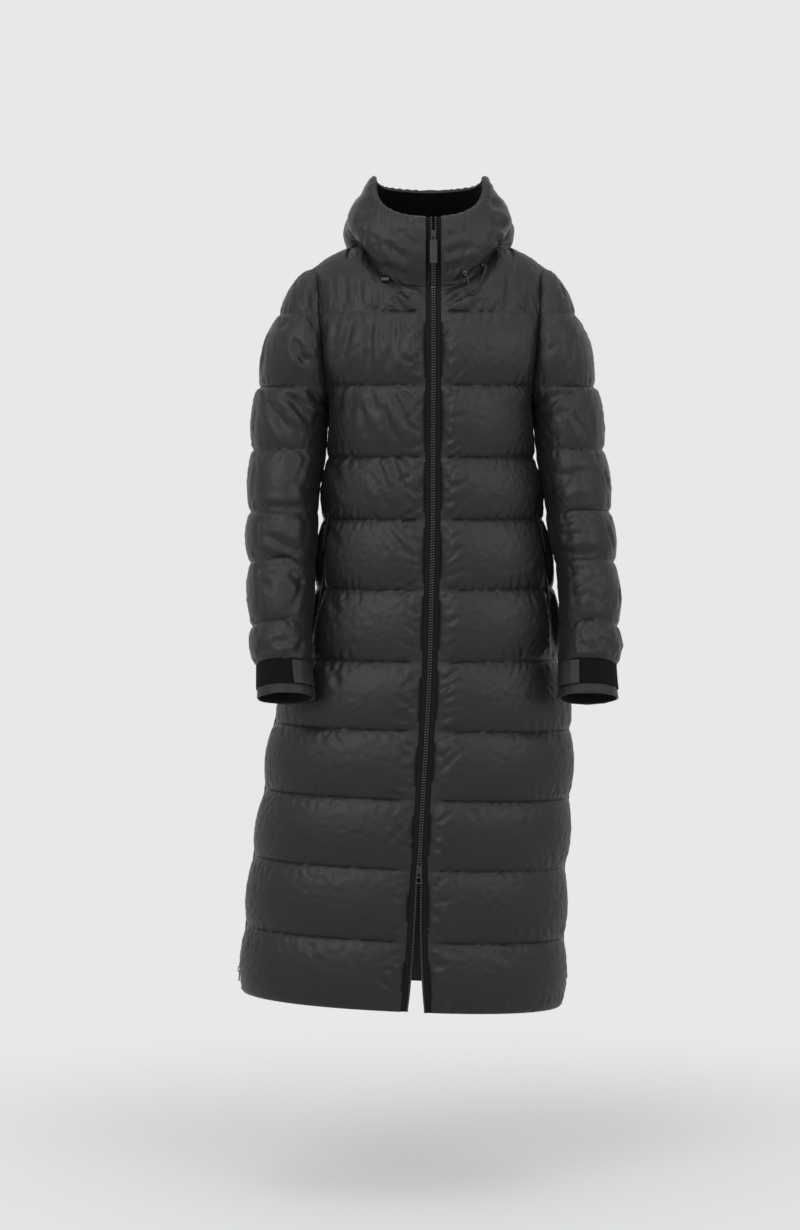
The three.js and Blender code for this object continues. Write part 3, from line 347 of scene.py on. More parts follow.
def side_x(z, side):
    half = np.where(z >= ARMPIT_Z, look_up(ARMHOLE, "z", z, "half"), body(z, "half"))
    return body(z, "centre") + side * half


def neck_point(angle, side):
    angle = np.asarray(angle, float)
    turn = np.radians(angle)
    across = np.abs(np.sin(turn)) ** (2 / NECK_POWER)
    along = np.abs(np.cos(turn)) ** (2 / NECK_POWER)
    z = mix(NECK_SIDE_Z, np.where(angle <= 90, NECK_FRONT_Z, NECK_BACK_Z), along)
    return body_skin(body(z, "centre") + side * NECK_HALF * across, z, np.where(angle <= 90, -1, 1))


def neck_start(side):
    wanted = zip_line(NECK_FRONT_Z, "x") + side * (ZIP_HALF + GAP)
    angles = np.arange(0, 90, 0.05)
    return angles[np.argmax(side * (neck_point(angles, side)[:, 0] - wanted) >= 0)]


NECK_START = {-1: neck_start(-1), 1: neck_start(1)}


def row_z(z, x):
    return z - look_up(RISE, "z", z, "rise") * (x - body(z, "centre")) / 258


def column_angle(panel, side, s):
    return mix(NECK_START[side] if panel == "front" else 180, 90, s / NECK_SHARE)


def yoke_lift(climb, s):
    lifted = mix(climb, np.sin(np.clip(climb, 0, 1) * math.pi / 2), smooth((s - 0.3) / 0.2))
    return np.where(climb < 1, lifted, 1)


def panel_point(panel, side, s, row):
    """Points of a body panel's inside, for arrays of shares across and of rows."""
    s, row = np.broadcast_arrays(np.asarray(s, float), np.asarray(row, float))
    facing = -1 if panel == "front" else 1
    level = level_z(np.minimum(row, YOKE_BAND))

    def edge(z):
        if panel == "front":
            return zip_line(z, "x") + side * (zip_line(z, "half") + GAP)
        return body(z, "centre")

    angled = np.sin(s * math.pi / 2) ** (2 / SIDE_POWER)
    spread = mix(angled, s**0.75, smooth((level - ARMPIT_Z) / 70))
    x = mix(edge(level), side_x(level, side), spread)
    z = row_z(level, x)
    low = body_skin(mix(edge(z), side_x(z, side), spread), z, facing)
    distance = mix(NECK_HALF, SHOULDER, np.maximum(0, s - NECK_SHARE) / (1 - NECK_SHARE))
    ridge = ridge_z(distance)
    neck = neck_point(column_angle(panel, side, np.minimum(s, NECK_SHARE)), side)
    at_neck = s <= NECK_SHARE
    top_x = np.where(at_neck, neck[..., 0], body(ridge, "centre") + side * distance)
    top_z = np.where(at_neck, neck[..., 2], ridge)
    climb = np.clip(row - YOKE_BAND, 0, 1)
    high = body_skin(mix(x, top_x, climb**3), mix(level, top_z, yoke_lift(climb, s)), facing)
    point = np.where((row <= YOKE_BAND)[..., None], low, high)
    near = np.abs(point[..., 1] - MID_Y) < GAP / 2
    point[..., 1] = np.where(near, MID_Y + facing * GAP / 2, point[..., 1])
    return point


def swell(row):
    return np.abs(np.sin(math.pi * (row - np.floor(row)))) ** 0.6


def edge_swell(distance, reach):
    return np.sin(math.pi / 2 * np.clip(distance / reach, 0, 1)) ** 0.8


def armpit_ease(across, up):
    return smooth((np.hypot(across, up) - 15) / 75)


def body_swell(panel, s, row):
    """How far a body panel's padding stands out, for shares across and rows."""
    width = FRONT_WIDE
    amount = BODY_PUFF * swell(row)
    neck = np.where(s < 0.65, smooth((YOKE_BAND + 1 - row) * 1.5), 1)
    amount = amount * np.where(row > YOKE_BAND, 0.55 * neck, 1)
    amount = amount * edge_swell(np.maximum(0, (1 - s) * width - SIDE_BORDER), 45)
    amount = amount * armpit_ease((1 - s) * width, level_z(np.minimum(row, YOKE_BAND)) - ARMPIT_Z)
    if panel == "back":
        return amount
    amount = amount * edge_swell(s * width, ZIP_REACH)
    ends = smooth((row - POCKET["bottom"] + 0.5) / 0.5) * smooth((POCKET["top"] + 0.4 - row) / 0.4)
    away = np.maximum(0, np.maximum(POCKET["from"] - s, s - POCKET["to"])) * width
    return amount * (1 - ends * (1 - smooth(away / 24)))


def grid_normals(grid, turn, wraps=None):
    """Unit normals of a grid of points; wraps marks the rows whose two ends meet."""
    up = np.empty_like(grid)
    up[1:-1] = grid[2:] - grid[:-2]
    up[0] = grid[1] - grid[0]
    up[-1] = grid[-1] - grid[-2]
    across = np.empty_like(grid)
    across[:, 1:-1] = grid[:, 2:] - grid[:, :-2]
    across[:, 0] = grid[:, 1] - grid[:, 0]
    across[:, -1] = grid[:, -1] - grid[:, -2]
    if wraps is not None:
        ends = grid[wraps, 1] - grid[wraps, -2]
        across[wraps, 0] = ends
        across[wraps, -1] = ends
    return unit(np.cross(across, up)) * turn


# Rows and columns of the fine grids
BAND_CELLS = 18
YOKE_CELLS = 22
ARMPIT_BAND = int(ARMPIT_ROW)


def band_rows(band):
    if band == ARMPIT_BAND:
        share = ARMPIT_ROW - band
        low = np.linspace(0, share, 12, endpoint=False)
        return band + np.concatenate([low, np.linspace(share, 1, 6, endpoint=False)])
    cells = YOKE_CELLS if band == YOKE_BAND else BAND_CELLS
    return band + np.linspace(0, 1, cells, endpoint=False)


BODY_ROWS = np.concatenate([*[band_rows(band) for band in range(YOKE_BAND + 1)], [YOKE_BAND + 1]])
ARMPIT_INDEX = int(np.argmin(np.abs(BODY_ROWS - ARMPIT_ROW)))
HALF_COLUMNS = np.linspace(0, 1, 49)
NECK_COLUMN = int(np.argmin(np.abs(HALF_COLUMNS - NECK_SHARE)))


class Panel:
    """A body panel as a grid of inside points with its outward directions."""

    def __init__(self, kind, sides, turn):
        self.kind = kind
        shares = []
        for side in sides:
            line = [(side, s) for s in HALF_COLUMNS]
            if side < 0:
                line.reverse()
            shares += line if not shares else line[1:]
        self.side = np.array([side for side, s in shares])
        self.s = np.array([s for side, s in shares])
        parts = []
        for side in sides:
            mine = self.side == side
            if len(sides) == 2 and side > 0:
                mine = ~(self.side == -1)
            parts.append(panel_point(kind, side, self.s[mine][None, :], BODY_ROWS[:, None]))
        self.base = np.concatenate(parts, axis=1)
        self.normals = grid_normals(self.base, turn)
        level = np.abs(self.base[..., 1] - MID_Y) < GAP
        self.normals[level] *= (1, 0, 1)
        self.normals = unit(self.normals)
        self.swell = body_swell(kind, self.s[None, :], BODY_ROWS[:, None])


front_right = Panel("front", [-1], 1)
front_left = Panel("front", [1], 1)
back = Panel("back", [-1, 1], -1)


# Sleeves. Arm rows are rings from the cuff up; cap rows are arcs that end in the armhole.
SLEEVE_COLUMNS = 60
ARM_CELLS = [10, 16, 13, 16]
ARM_ROWS = np.concatenate(
    [*[band + np.linspace(0, 1, cells, endpoint=False) for band, cells in enumerate(ARM_CELLS)]]
    + [4 + np.linspace(0, 0.54, 9)]
)
CAP_ROWS = BODY_ROWS[ARMPIT_INDEX:]
SHARES = np.linspace(0, 1, SLEEVE_COLUMNS + 1)


def arm_level(row):
    band = np.clip(np.floor(row), 0, len(SLEEVE_SEAMS) - 2).astype(int)
    return mix(SLEEVE_SEAMS[band], SLEEVE_SEAMS[band + 1], row - band)


def sleeve_ring(side, level, angle):
    level, angle = np.broadcast_arrays(level, angle)

    def at(column):
        return look_up(SLEEVE[side], "z", level, column)

    centre = (at("inner") + at("outer")) / 2
    reach = (at("outer") - at("inner")) / 2
    y = at("y") - at("half") * np.sin(angle)
    return np.stack([side * (centre + reach * np.cos(angle)), y, level + at("lean") * (at("y") - y)], axis=-1)


def sleeve_cap(side, row, front, rear, share):
    """Arcs over the shoulder, between the front's and the back's armhole points of each row."""
    level = level_z(np.minimum(row, YOKE_BAND))
    top = float(ridge_z(SHOULDER))
    z = np.where(row <= YOKE_BAND, level, mix(level, top, yoke_lift(row - YOKE_BAND, 1)))
    crown = look_up(CROWN, "z", z, "right" if side < 0 else "left")[:, None]
    slack = look_up(CROWN, "z", z, "slack")[:, None]
    z = z[:, None]
    edge = np.where((share < 0.5)[None, :, None], front[:, None, :], rear[:, None, :])
    deep = np.maximum(np.abs(edge[..., 1] - MID_Y), 0.01)
    half = np.hypot(deep, slack)
    end = math.pi - np.arcsin(np.minimum(1, deep / half))
    angle = end * np.abs(1 - 2 * share)
    reach = (crown - side * edge[..., 0]) / (1 - np.cos(end))
    over = (1 - np.cos(angle)) / (1 - np.cos(end))
    y = MID_Y + np.where(share < 0.5, -1, 1) * half * np.sin(angle)
    clear = UNDERARM_STEP * smooth(np.abs(y - MID_Y) / 12) * (1 - smooth((z - ARMPIT_Z) / 45))
    x = side * (crown - reach + reach * np.cos(angle) + clear)
    points = np.stack([x, y, mix(z, edge[..., 2], over)], axis=-1)
    points[-1] = (front[-1, 0], MID_Y, front[-1, 2])
    points[0, 0, 1] = MID_Y
    points[0, -1] = points[0, 0]
    points[0, :, 0] += side * 5 * GAP
    points[1:, :, 0] += side * GAP
    return points


class Sleeve:
    """A sleeve as a grid of inside points with its outward directions, joined to its front and the back."""

    def __init__(self, side, front):
        self.side = side
        edge = 0 if side < 0 else -1
        a = front.base[ARMPIT_INDEX:, edge]
        b = back.base[ARMPIT_INDEX:, edge]
        rings = sleeve_ring(side, arm_level(ARM_ROWS)[:, None], math.pi * (1 - 2 * SHARES)[None, :])
        rings[:, -1] = rings[:, 0]
        self.base = np.concatenate([rings, sleeve_cap(side, CAP_ROWS, a, b, SHARES)])
        joint = slice(len(ARM_ROWS) - 8, len(ARM_ROWS) + 6)
        fade = smooth((from_ends(SLEEVE_COLUMNS + 1) - 4) / 5)
        for step in range(60):
            above = self.base[joint.start + 1 : joint.stop + 1]
            below = self.base[joint.start - 1 : joint.stop - 1]
            even = (above + below) / 2
            self.base[joint] = mix(self.base[joint], even, 0.5 * fade[None, :, None])
        self.row = np.concatenate([ARM_ROWS, CAP_ROWS])
        self.cap = np.arange(len(self.row)) >= len(ARM_ROWS)
        self.wraps = np.arange(len(self.row)) <= len(ARM_ROWS)
        normals = grid_normals(self.base, 1, self.wraps)
        middle = self.base.mean(axis=1)
        over = SLEEVE_COLUMNS // 2
        facing = ((self.base[:, over] - middle) * normals[:, over]).sum(-1)
        normals[facing < 0] *= -1
        k = len(ARM_ROWS)
        for column, owner in ((0, front), (-1, back)):
            shared = unit(normals[k:, column] + owner.normals[ARMPIT_INDEX:, edge])
            shared[0] = (0, 0, -1)
            shared[-1] = unit(owner.normals[-1, edge] * (1, 0, 1))
            normals[k:, column] = shared
            owner.normals[ARMPIT_INDEX:, edge] = shared
        normals[-1] = normals[-1, 0]
        for step in range(1, 4):
            near = unit(mix(normals[k - step, 0], np.array([0, 0, -1.0]), 1 - step / 4))
            normals[k - step, 0] = near
            normals[k - step, -1] = near
        self.normals = normals
        first = np.linalg.norm(self.base - self.base[:, :1], axis=-1)
        last = np.linalg.norm(self.base - self.base[:, -1:], axis=-1)
        nearest = np.minimum(first, last)
        around = np.abs(1 - 2 * SHARES)[None, :]
        ease = armpit_ease(nearest, self.base[:, :1, 2] - ARMPIT_Z)
        bulge = swell(self.row)[:, None]
        arm = bulge * (1 - 0.75 * smooth((around - 0.55) / 0.3))
        row = self.row[:, None]
        band = np.where(row < YOKE_BAND - 1, np.minimum(1, bulge + 0.3), bulge)
        cap = band * edge_swell(nearest, 40) * np.where(row > YOKE_BAND, 0.7, 1)
        self.swell = SLEEVE_PUFF * ease * np.where(self.cap[:, None], cap, arm)


sleeve_right = Sleeve(-1, front_right)
sleeve_left = Sleeve(1, front_left)

# Hood and collar
HOOD_ROWS = np.linspace(0, 1, 25)
HOOD_FRONT = np.concatenate([np.linspace(0, 0.31, 17), np.linspace(0.31, 0.5, 11)[1:]])
HOOD_BACK = np.concatenate([np.linspace(0, 0.24, 15), np.linspace(0.24, 0.5, 15)[1:]])


def centripetal(points, at):
    """A centripetal Catmull-Rom curve through a list of points, read at shares of their count."""
    count = len(points)
    place = np.asarray(at) * (count - 1)
    i = np.minimum(np.floor(place).astype(int), count - 2)
    t = (place - i)[:, None]
    padded = np.concatenate([[2 * points[0] - points[1]], points, [2 * points[-1] - points[-2]]])
    p0, p1, p2, p3 = (padded[i + k] for k in range(4))

    def gap(a, b):
        return np.maximum(np.linalg.norm(b - a, axis=-1, keepdims=True) ** 0.5, 1e-4)

    d0, d1, d2 = gap(p0, p1), gap(p1, p2), gap(p2, p3)
    t1 = ((p1 - p0) / d0 - (p2 - p0) / (d0 + d1) + (p2 - p1) / d1) * d1
    t2 = ((p2 - p1) / d1 - (p3 - p1) / (d1 + d2) + (p3 - p2) / d2) * d1
    c2 = -3 * p1 + 3 * p2 - 2 * t1 - t2
    c3 = 2 * p1 - 2 * p2 + t1 + t2
    return p1 + t1 * t + c2 * t**2 + c3 * t**3


def hood_column(panel, side, s):
    angle = float(column_angle(panel, side, s))
    neck = neck_point(angle, side)
    steps = np.zeros((6, 2))
    for k in range(1, 6):
        steps[k] = [float(look_up(HOOD, "angle", angle, way + str(k))) for way in ("out", "up")]
    away = unit(np.array([neck[0] - float(body(0, "centre")), neck[1] - NECK_Y, 0]))
    curve = centripetal(steps, HOOD_ROWS)
    line = neck + away * curve[:, :1] + np.array([0, 0, 1]) * curve[:, 1:]
    if s == 0 and panel == "front":
        line[:, 0] = zip_line(0, "x") + side * (ZIP_HALF + GAP)
    return line


hood_places = [("front", -1, s) for s in HOOD_FRONT] + [("back", -1, s) for s in HOOD_BACK[::-1][1:]]
hood_places += [("back", 1, s) for s in HOOD_BACK[1:]] + [("front", 1, s) for s in HOOD_FRONT[::-1][1:]]
hood_base = np.stack([hood_column(*place) for place in hood_places], axis=1)
hood_normals = grid_normals(hood_base, -1)
for end in (0, -1):
    hood_normals[:, end] = unit(hood_normals[:, end] * (0, 1, 1))
for j, (kind, side, s) in enumerate(hood_places):
    owner = back if kind == "back" else front_right if side < 0 else front_left
    column = int(np.argmin(np.abs(owner.s - s) + (owner.side != side) * (s > 0)))
    shared = unit(owner.normals[-1, column] + hood_normals[0, j])
    hood_normals[0, j] = shared
    owner.normals[-1, column] = shared
    lift = unit(np.array([0, 0, 1.0]) - shared * shared[2])
    hood_base[0, j] += lift * (3 * GAP if kind == "back" else GAP)
HOOD_PIECES = [
    ("collar_right", 0, 16),
    ("hood_right", 16, 40),
    ("hood_back", 40, 68),
    ("hood_left", 68, 92),
    ("collar_left", 92, 108),
]
hood_thick = np.interp(HOOD_ROWS, [0, 0.06, 0.16, 0.28, 0.4, 0.95, 1], [3, 3.5, 5.5, 8.5, 10, 10, 6])


# Cloth settling: every quilted outside is a sheet, held along its seams and blown up by its filling
def grid_index(rows, columns, wraps=None, tip=False):
    index = np.arange(rows * columns).reshape(rows, columns)
    if wraps is not None:
        index[wraps, -1] = index[wraps, 0]
    if tip:
        index[-1, :] = index[-1, 0]
    return index


def quads(index):
    corners = np.stack([index[:-1, :-1], index[:-1, 1:], index[1:, 1:], index[1:, :-1]], axis=-1)
    return corners.reshape(-1, 4)


class Settling:
    """A sheet of cloth that takes part in the simulation."""

    def __init__(self, name, start, rest, held, outward, fuller, wraps=None, tip=False, pressure=4.0):
        rows, columns = start.shape[:2]
        turned = np.sum(grid_normals(start, 1) * outward) < 0
        index = grid_index(rows, columns, wraps, tip)
        used, flat = np.unique(index, return_inverse=True)
        self.flat = flat.reshape(index.shape)
        self.used = used
        faces = [list(dict.fromkeys(face[::-1] if turned else face)) for face in quads(self.flat).tolist()]
        mesh = bpy.data.meshes.new(name)
        mesh.from_pydata((start.reshape(-1, 3)[used] * MM).tolist(), [], [f for f in faces if len(f) > 2])
        self.thing = place(name, mesh)
        self.thing.shape_key_add(name="Basis")
        key = self.thing.shape_key_add(name="rest")
        key.data.foreach_set("co", (rest.reshape(-1, 3)[used] * MM).ravel())
        pins = self.thing.vertex_groups.new(name="held")
        held = held.reshape(-1)[used]
        pins.add(np.flatnonzero(held).tolist(), 1.0, "REPLACE")
        cloth = self.thing.modifiers.new("Cloth", "CLOTH")
        settings = cloth.settings
        settings.quality = 4
        settings.mass = 0.08
        settings.air_damping = 2
        settings.tension_stiffness = STIFFNESS
        settings.compression_stiffness = STIFFNESS
        settings.shear_stiffness = STIFFNESS / 3
        settings.bending_stiffness = 0.02
        settings.vertex_group_mass = "held"
        settings.rest_shape_key = key
        settings.use_pressure = True
        settings.uniform_pressure_force = pressure
        settings.effector_weights.gravity = 0
        group = self.thing.vertex_groups.new(name="fuller")
        weight = np.round(fuller.reshape(-1)[used], 1)
        for step in np.unique(weight[weight > 0]):
            group.add(np.flatnonzero(weight == step).tolist(), float(step), "REPLACE")
        settings.vertex_group_shrink = "fuller"
        settings.shrink_min = 0.0
        settings.shrink_max = -FULLNESS
        cloth.point_cache.frame_start = 1
        cloth.point_cache.frame_end = 60
        cloth.collision_settings.use_collision = False

    def result(self, graph):
        mesh = self.thing.evaluated_get(graph).to_mesh()
        co = np.empty(len(mesh.vertices) * 3)
        mesh.vertices.foreach_get("co", co)
        return co.reshape(-1, 3)[self.flat] / MM

    def remove(self):
        mesh = self.thing.data
        bpy.data.objects.remove(self.thing)
        bpy.data.meshes.remove(mesh)


def around_axis(points, centre, factor):
    """Points moved away from an upright axis, which makes the cloth wider round it."""
    moved = points.copy()
    moved[..., :2] = centre + (points[..., :2] - centre) * factor
    return moved


SETTLE_FRAMES = 30
STIFFNESS = 18.0
FULLNESS = 0.12  # how much more cloth than room there is where the cloth gathers
WIDER = {"body": 1.03, "sleeve": 1.03, "hood": 1.02}  # how much wider than its place each cloth is cut
chance = np.random.default_rng(7)
sheets = {}


def seam_rows(rows):
    return np.abs(rows - np.round(rows)) < 1e-6


def patchy(shape, cells, low=0.35):
    """Soft uneven weights between low and 1, from a coarse grid of random numbers."""
    rough = chance.uniform(low, 1, (cells[0] + 1, cells[1] + 1))
    i = np.linspace(0, cells[0], shape[0])
    j = np.linspace(0, cells[1], shape[1])
    tall = np.stack([np.interp(i, np.arange(cells[0] + 1), rough[:, k]) for k in range(cells[1] + 1)], axis=1)
    return np.stack([np.interp(j, np.arange(cells[1] + 1), line) for line in tall])


def from_seams(points, rows):
    """Distance in millimetres along the cloth from each point to the nearest seam row."""
    along = run_of(points)
    seams = along[seam_rows(rows)]
    return np.abs(along[:, None] - seams[None, :]).min(1)


def settle(name, start, rest, held, outward, fuller, **kind):
    """Puts a sheet into the simulation, with its free points a little out of place."""
    uneven = chance.normal(0, 0.3, start.shape)
    if kind.get("wraps") is not None:
        uneven[:, -1] = uneven[:, 0]
    start = np.where(held[..., None], start, start + uneven)
    sheets[name] = Settling(name + "_cloth", start, rest, held, outward, fuller, **kind)


for name, panel in (("front_right", front_right), ("front_left", front_left), ("back", back)):
    outer = panel.base + panel.normals * (SEAM_WALL + panel.swell[..., None])
    panel.start = outer
    held = np.zeros(outer.shape[:2], bool)
    held[seam_rows(BODY_ROWS)] = True
    held[:, [0, -1]] = True
    centre = np.stack([body(outer[..., 2], "centre"), np.full(outer.shape[:2], MID_Y)], axis=-1)
    rest = around_axis(outer, centre, WIDER["body"])
    near = np.exp(-((from_seams(panel.base, BODY_ROWS) / 26) ** 2))[:, None]
    fuller = 0.2 + 0.8 * near * patchy(outer.shape[:2], (22, outer.shape[1] // 6))
    if panel.kind == "front":
        by_zip = np.exp(-((panel.s[None, :] * FRONT_WIDE / 38) ** 2))
        fuller = np.maximum(fuller, by_zip * patchy(outer.shape[:2], (30, 4)))
        pocket = (panel.s >= POCKET["from"] - 0.01) & (panel.s <= POCKET["to"] + 0.01)
        along = (BODY_ROWS >= POCKET["bottom"] - 0.1) & (BODY_ROWS <= POCKET["top"] + 0.1)
        held |= along[:, None] & pocket[None, :]
    settle(name, outer, rest, held, panel.normals, np.clip(fuller, 0, 1))
for name, sleeve in (("sleeve_right", sleeve_right), ("sleeve_left", sleeve_left)):
    outer = sleeve.base + sleeve.normals * (SEAM_WALL + sleeve.swell[..., None])
    sleeve.start = outer
    held = np.zeros(outer.shape[:2], bool)
    held[seam_rows(sleeve.row)] = True
    held[len(ARM_ROWS)] = False
    held[-1] = True
    held[sleeve.cap, 0] = True
    held[sleeve.cap, -1] = True
    held[len(ARM_ROWS) - 8 : len(ARM_ROWS) + 1, [0, 1, 2, -3, -2, -1]] = True
    centre = outer.mean(axis=1)[:, None, :2]
    centre[len(ARM_ROWS) :] = centre[len(ARM_ROWS) - 1]
    rest = around_axis(outer, centre, WIDER["sleeve"])
    distance = np.abs(outer[:, 30, 2][:, None] - outer[seam_rows(sleeve.row), 30, 2][None, :]).min(1)
    near = np.exp(-((distance / 24) ** 2))[:, None]
    fuller = 0.3 + 0.7 * near * patchy(outer.shape[:2], (18, 10))
    settle(name, outer, rest, held, sleeve.normals, np.clip(fuller, 0, 1), wraps=sleeve.wraps, tip=True)
for name, first, last in HOOD_PIECES:
    base = hood_base[:, first : last + 1]
    outward = hood_normals[:, first : last + 1]
    outer = base + outward * hood_thick[:, None, None]
    held = np.zeros(outer.shape[:2], bool)
    held[[0, -1]] = True
    held[:, [0, -1]] = True
    centre = np.broadcast_to(np.array([-8.0, NECK_Y]), (*outer.shape[:2], 2))
    rest = around_axis(outer, centre, WIDER["hood"])
    settle(name, outer, rest, held, outward, 0.25 + 0.5 * patchy(outer.shape[:2], (6, 4), 0), pressure=2.0)
for number in range(1, SETTLE_FRAMES + 1):
    bpy.context.scene.frame_set(number)
graph = bpy.context.evaluated_depsgraph_get()
settled = {}
for name, sheet in sheets.items():
    settled[name] = sheet.result(graph)
    sheet.remove()
bpy.context.scene.frame_set(1)


# Meshes
def finer(grid, breaks=()):
    """Twice as many cells along the first axis, smooth except across the broken rows."""
    rows = len(grid)
    out = np.empty((2 * rows - 1, *grid.shape[1:]))
    out[::2] = grid
    stops = sorted({0, rows - 1, *breaks})
    for a, b in zip(stops, stops[1:]):
        part = grid[a : b + 1]
        if b - a < 3:
            out[2 * a + 1 : 2 * b : 2] = (part[1:] + part[:-1]) / 2
            continue
        first = 3 * part[0] - 3 * part[1] + part[2]
        final = 3 * part[-1] - 3 * part[-2] + part[-3]
        padded = np.concatenate([first[None], part, final[None]])
        out[2 * a + 1 : 2 * b : 2] = (9 * (padded[1:-2] + padded[2:-1]) - padded[:-3] - padded[3:]) / 16
    return out


def finer_both(grid, breaks=(), column_breaks=()):
    tall = finer(grid, breaks)
    return finer(tall.swapaxes(0, 1), column_breaks).swapaxes(0, 1)


def shell(name, outer, inner, row_ids, column_ids, wraps=None, tip=False):
    """A closed wall between a fine outside and a coarser inside, whose rows and columns back those of the
    outside with the given numbers. Outer faces get material 0, the inside and the rims material 1."""
    rows, columns = outer.shape[:2]
    few_rows, few_columns = inner.shape[:2]
    oi = grid_index(rows, columns, wraps, tip)
    inner_wraps = None if wraps is None else wraps[row_ids]
    ii = grid_index(few_rows, few_columns, inner_wraps, tip) + rows * columns
    u = run_of(outer, 1)
    v = run_of(outer)
    faces, places, slots = [], [], []

    def add(face, place, slot):
        kept = [n for n, vertex in enumerate(face) if vertex != face[n - 1]]
        if len(kept) < 3 or len({face[n] for n in kept}) < 3:
            return
        faces.append([face[n] for n in kept])
        places.append([place[n] for n in kept])
        slots.append(slot)

    for i in range(rows - 1):
        for j in range(columns - 1):
            corners = [(i, j), (i, j + 1), (i + 1, j + 1), (i + 1, j)]
            add([int(oi[c]) for c in corners], [(u[c[1]], v[c[0]]) for c in corners], 0)
    for i in range(few_rows - 1):
        for j in range(few_columns - 1):
            corners = [(i, j), (i + 1, j), (i + 1, j + 1), (i, j + 1)]
            add([int(ii[c]) for c in corners], [(u[column_ids[c[1]]], v[row_ids[c[0]]]) for c in corners], 1)

    def rim(inner_line, outer_line, ids):
        for n in range(len(ids) - 1):
            outside = [int(k) for k in outer_line[ids[n] : ids[n + 1] + 1]]
            face = [int(inner_line[n + 1]), int(inner_line[n]), *outside]
            add(face, [(0.0, 0.0)] * len(face), 1)

    rim(ii[0], oi[0], column_ids)
    if not tip:
        rim(ii[-1], oi[-1], column_ids)
    if wraps is None or not wraps.all():
        for column in (0, -1):
            for n in range(len(row_ids) - 1):
                if wraps is not None and wraps[row_ids[n]] and wraps[row_ids[n + 1]]:
                    continue
                outside = [int(k) for k in oi[row_ids[n] : row_ids[n + 1] + 1, column]]
                face = [int(ii[n + 1, column]), int(ii[n, column]), *outside]
                add(face, [(0.0, 0.0)] * len(face), 1)
    mesh = bpy.data.meshes.new(name)
    points = np.concatenate([outer.reshape(-1, 3), inner.reshape(-1, 3)]) * MM
    mesh.from_pydata(points.tolist(), [], faces)
    layer = mesh.uv_layers.new(name="cloth")
    flat = [value * MM for place in places for pair in place for value in pair]
    layer.data.foreach_set("uv", flat)
    mesh.polygons.foreach_set("material_index", slots)
    work = bmesh.new()
    work.from_mesh(mesh)
    bmesh.ops.delete(work, geom=[vertex for vertex in work.verts if not vertex.link_faces], context="VERTS")
    bmesh.ops.recalc_face_normals(work, faces=work.faces)
    work.to_mesh(mesh)
    work.free()
    rounded(mesh, 62)
    return place(name, mesh)


def coarse_ids(count, step, kept=()):
    return np.array(sorted({*range(0, count, step), count - 1, *kept}))


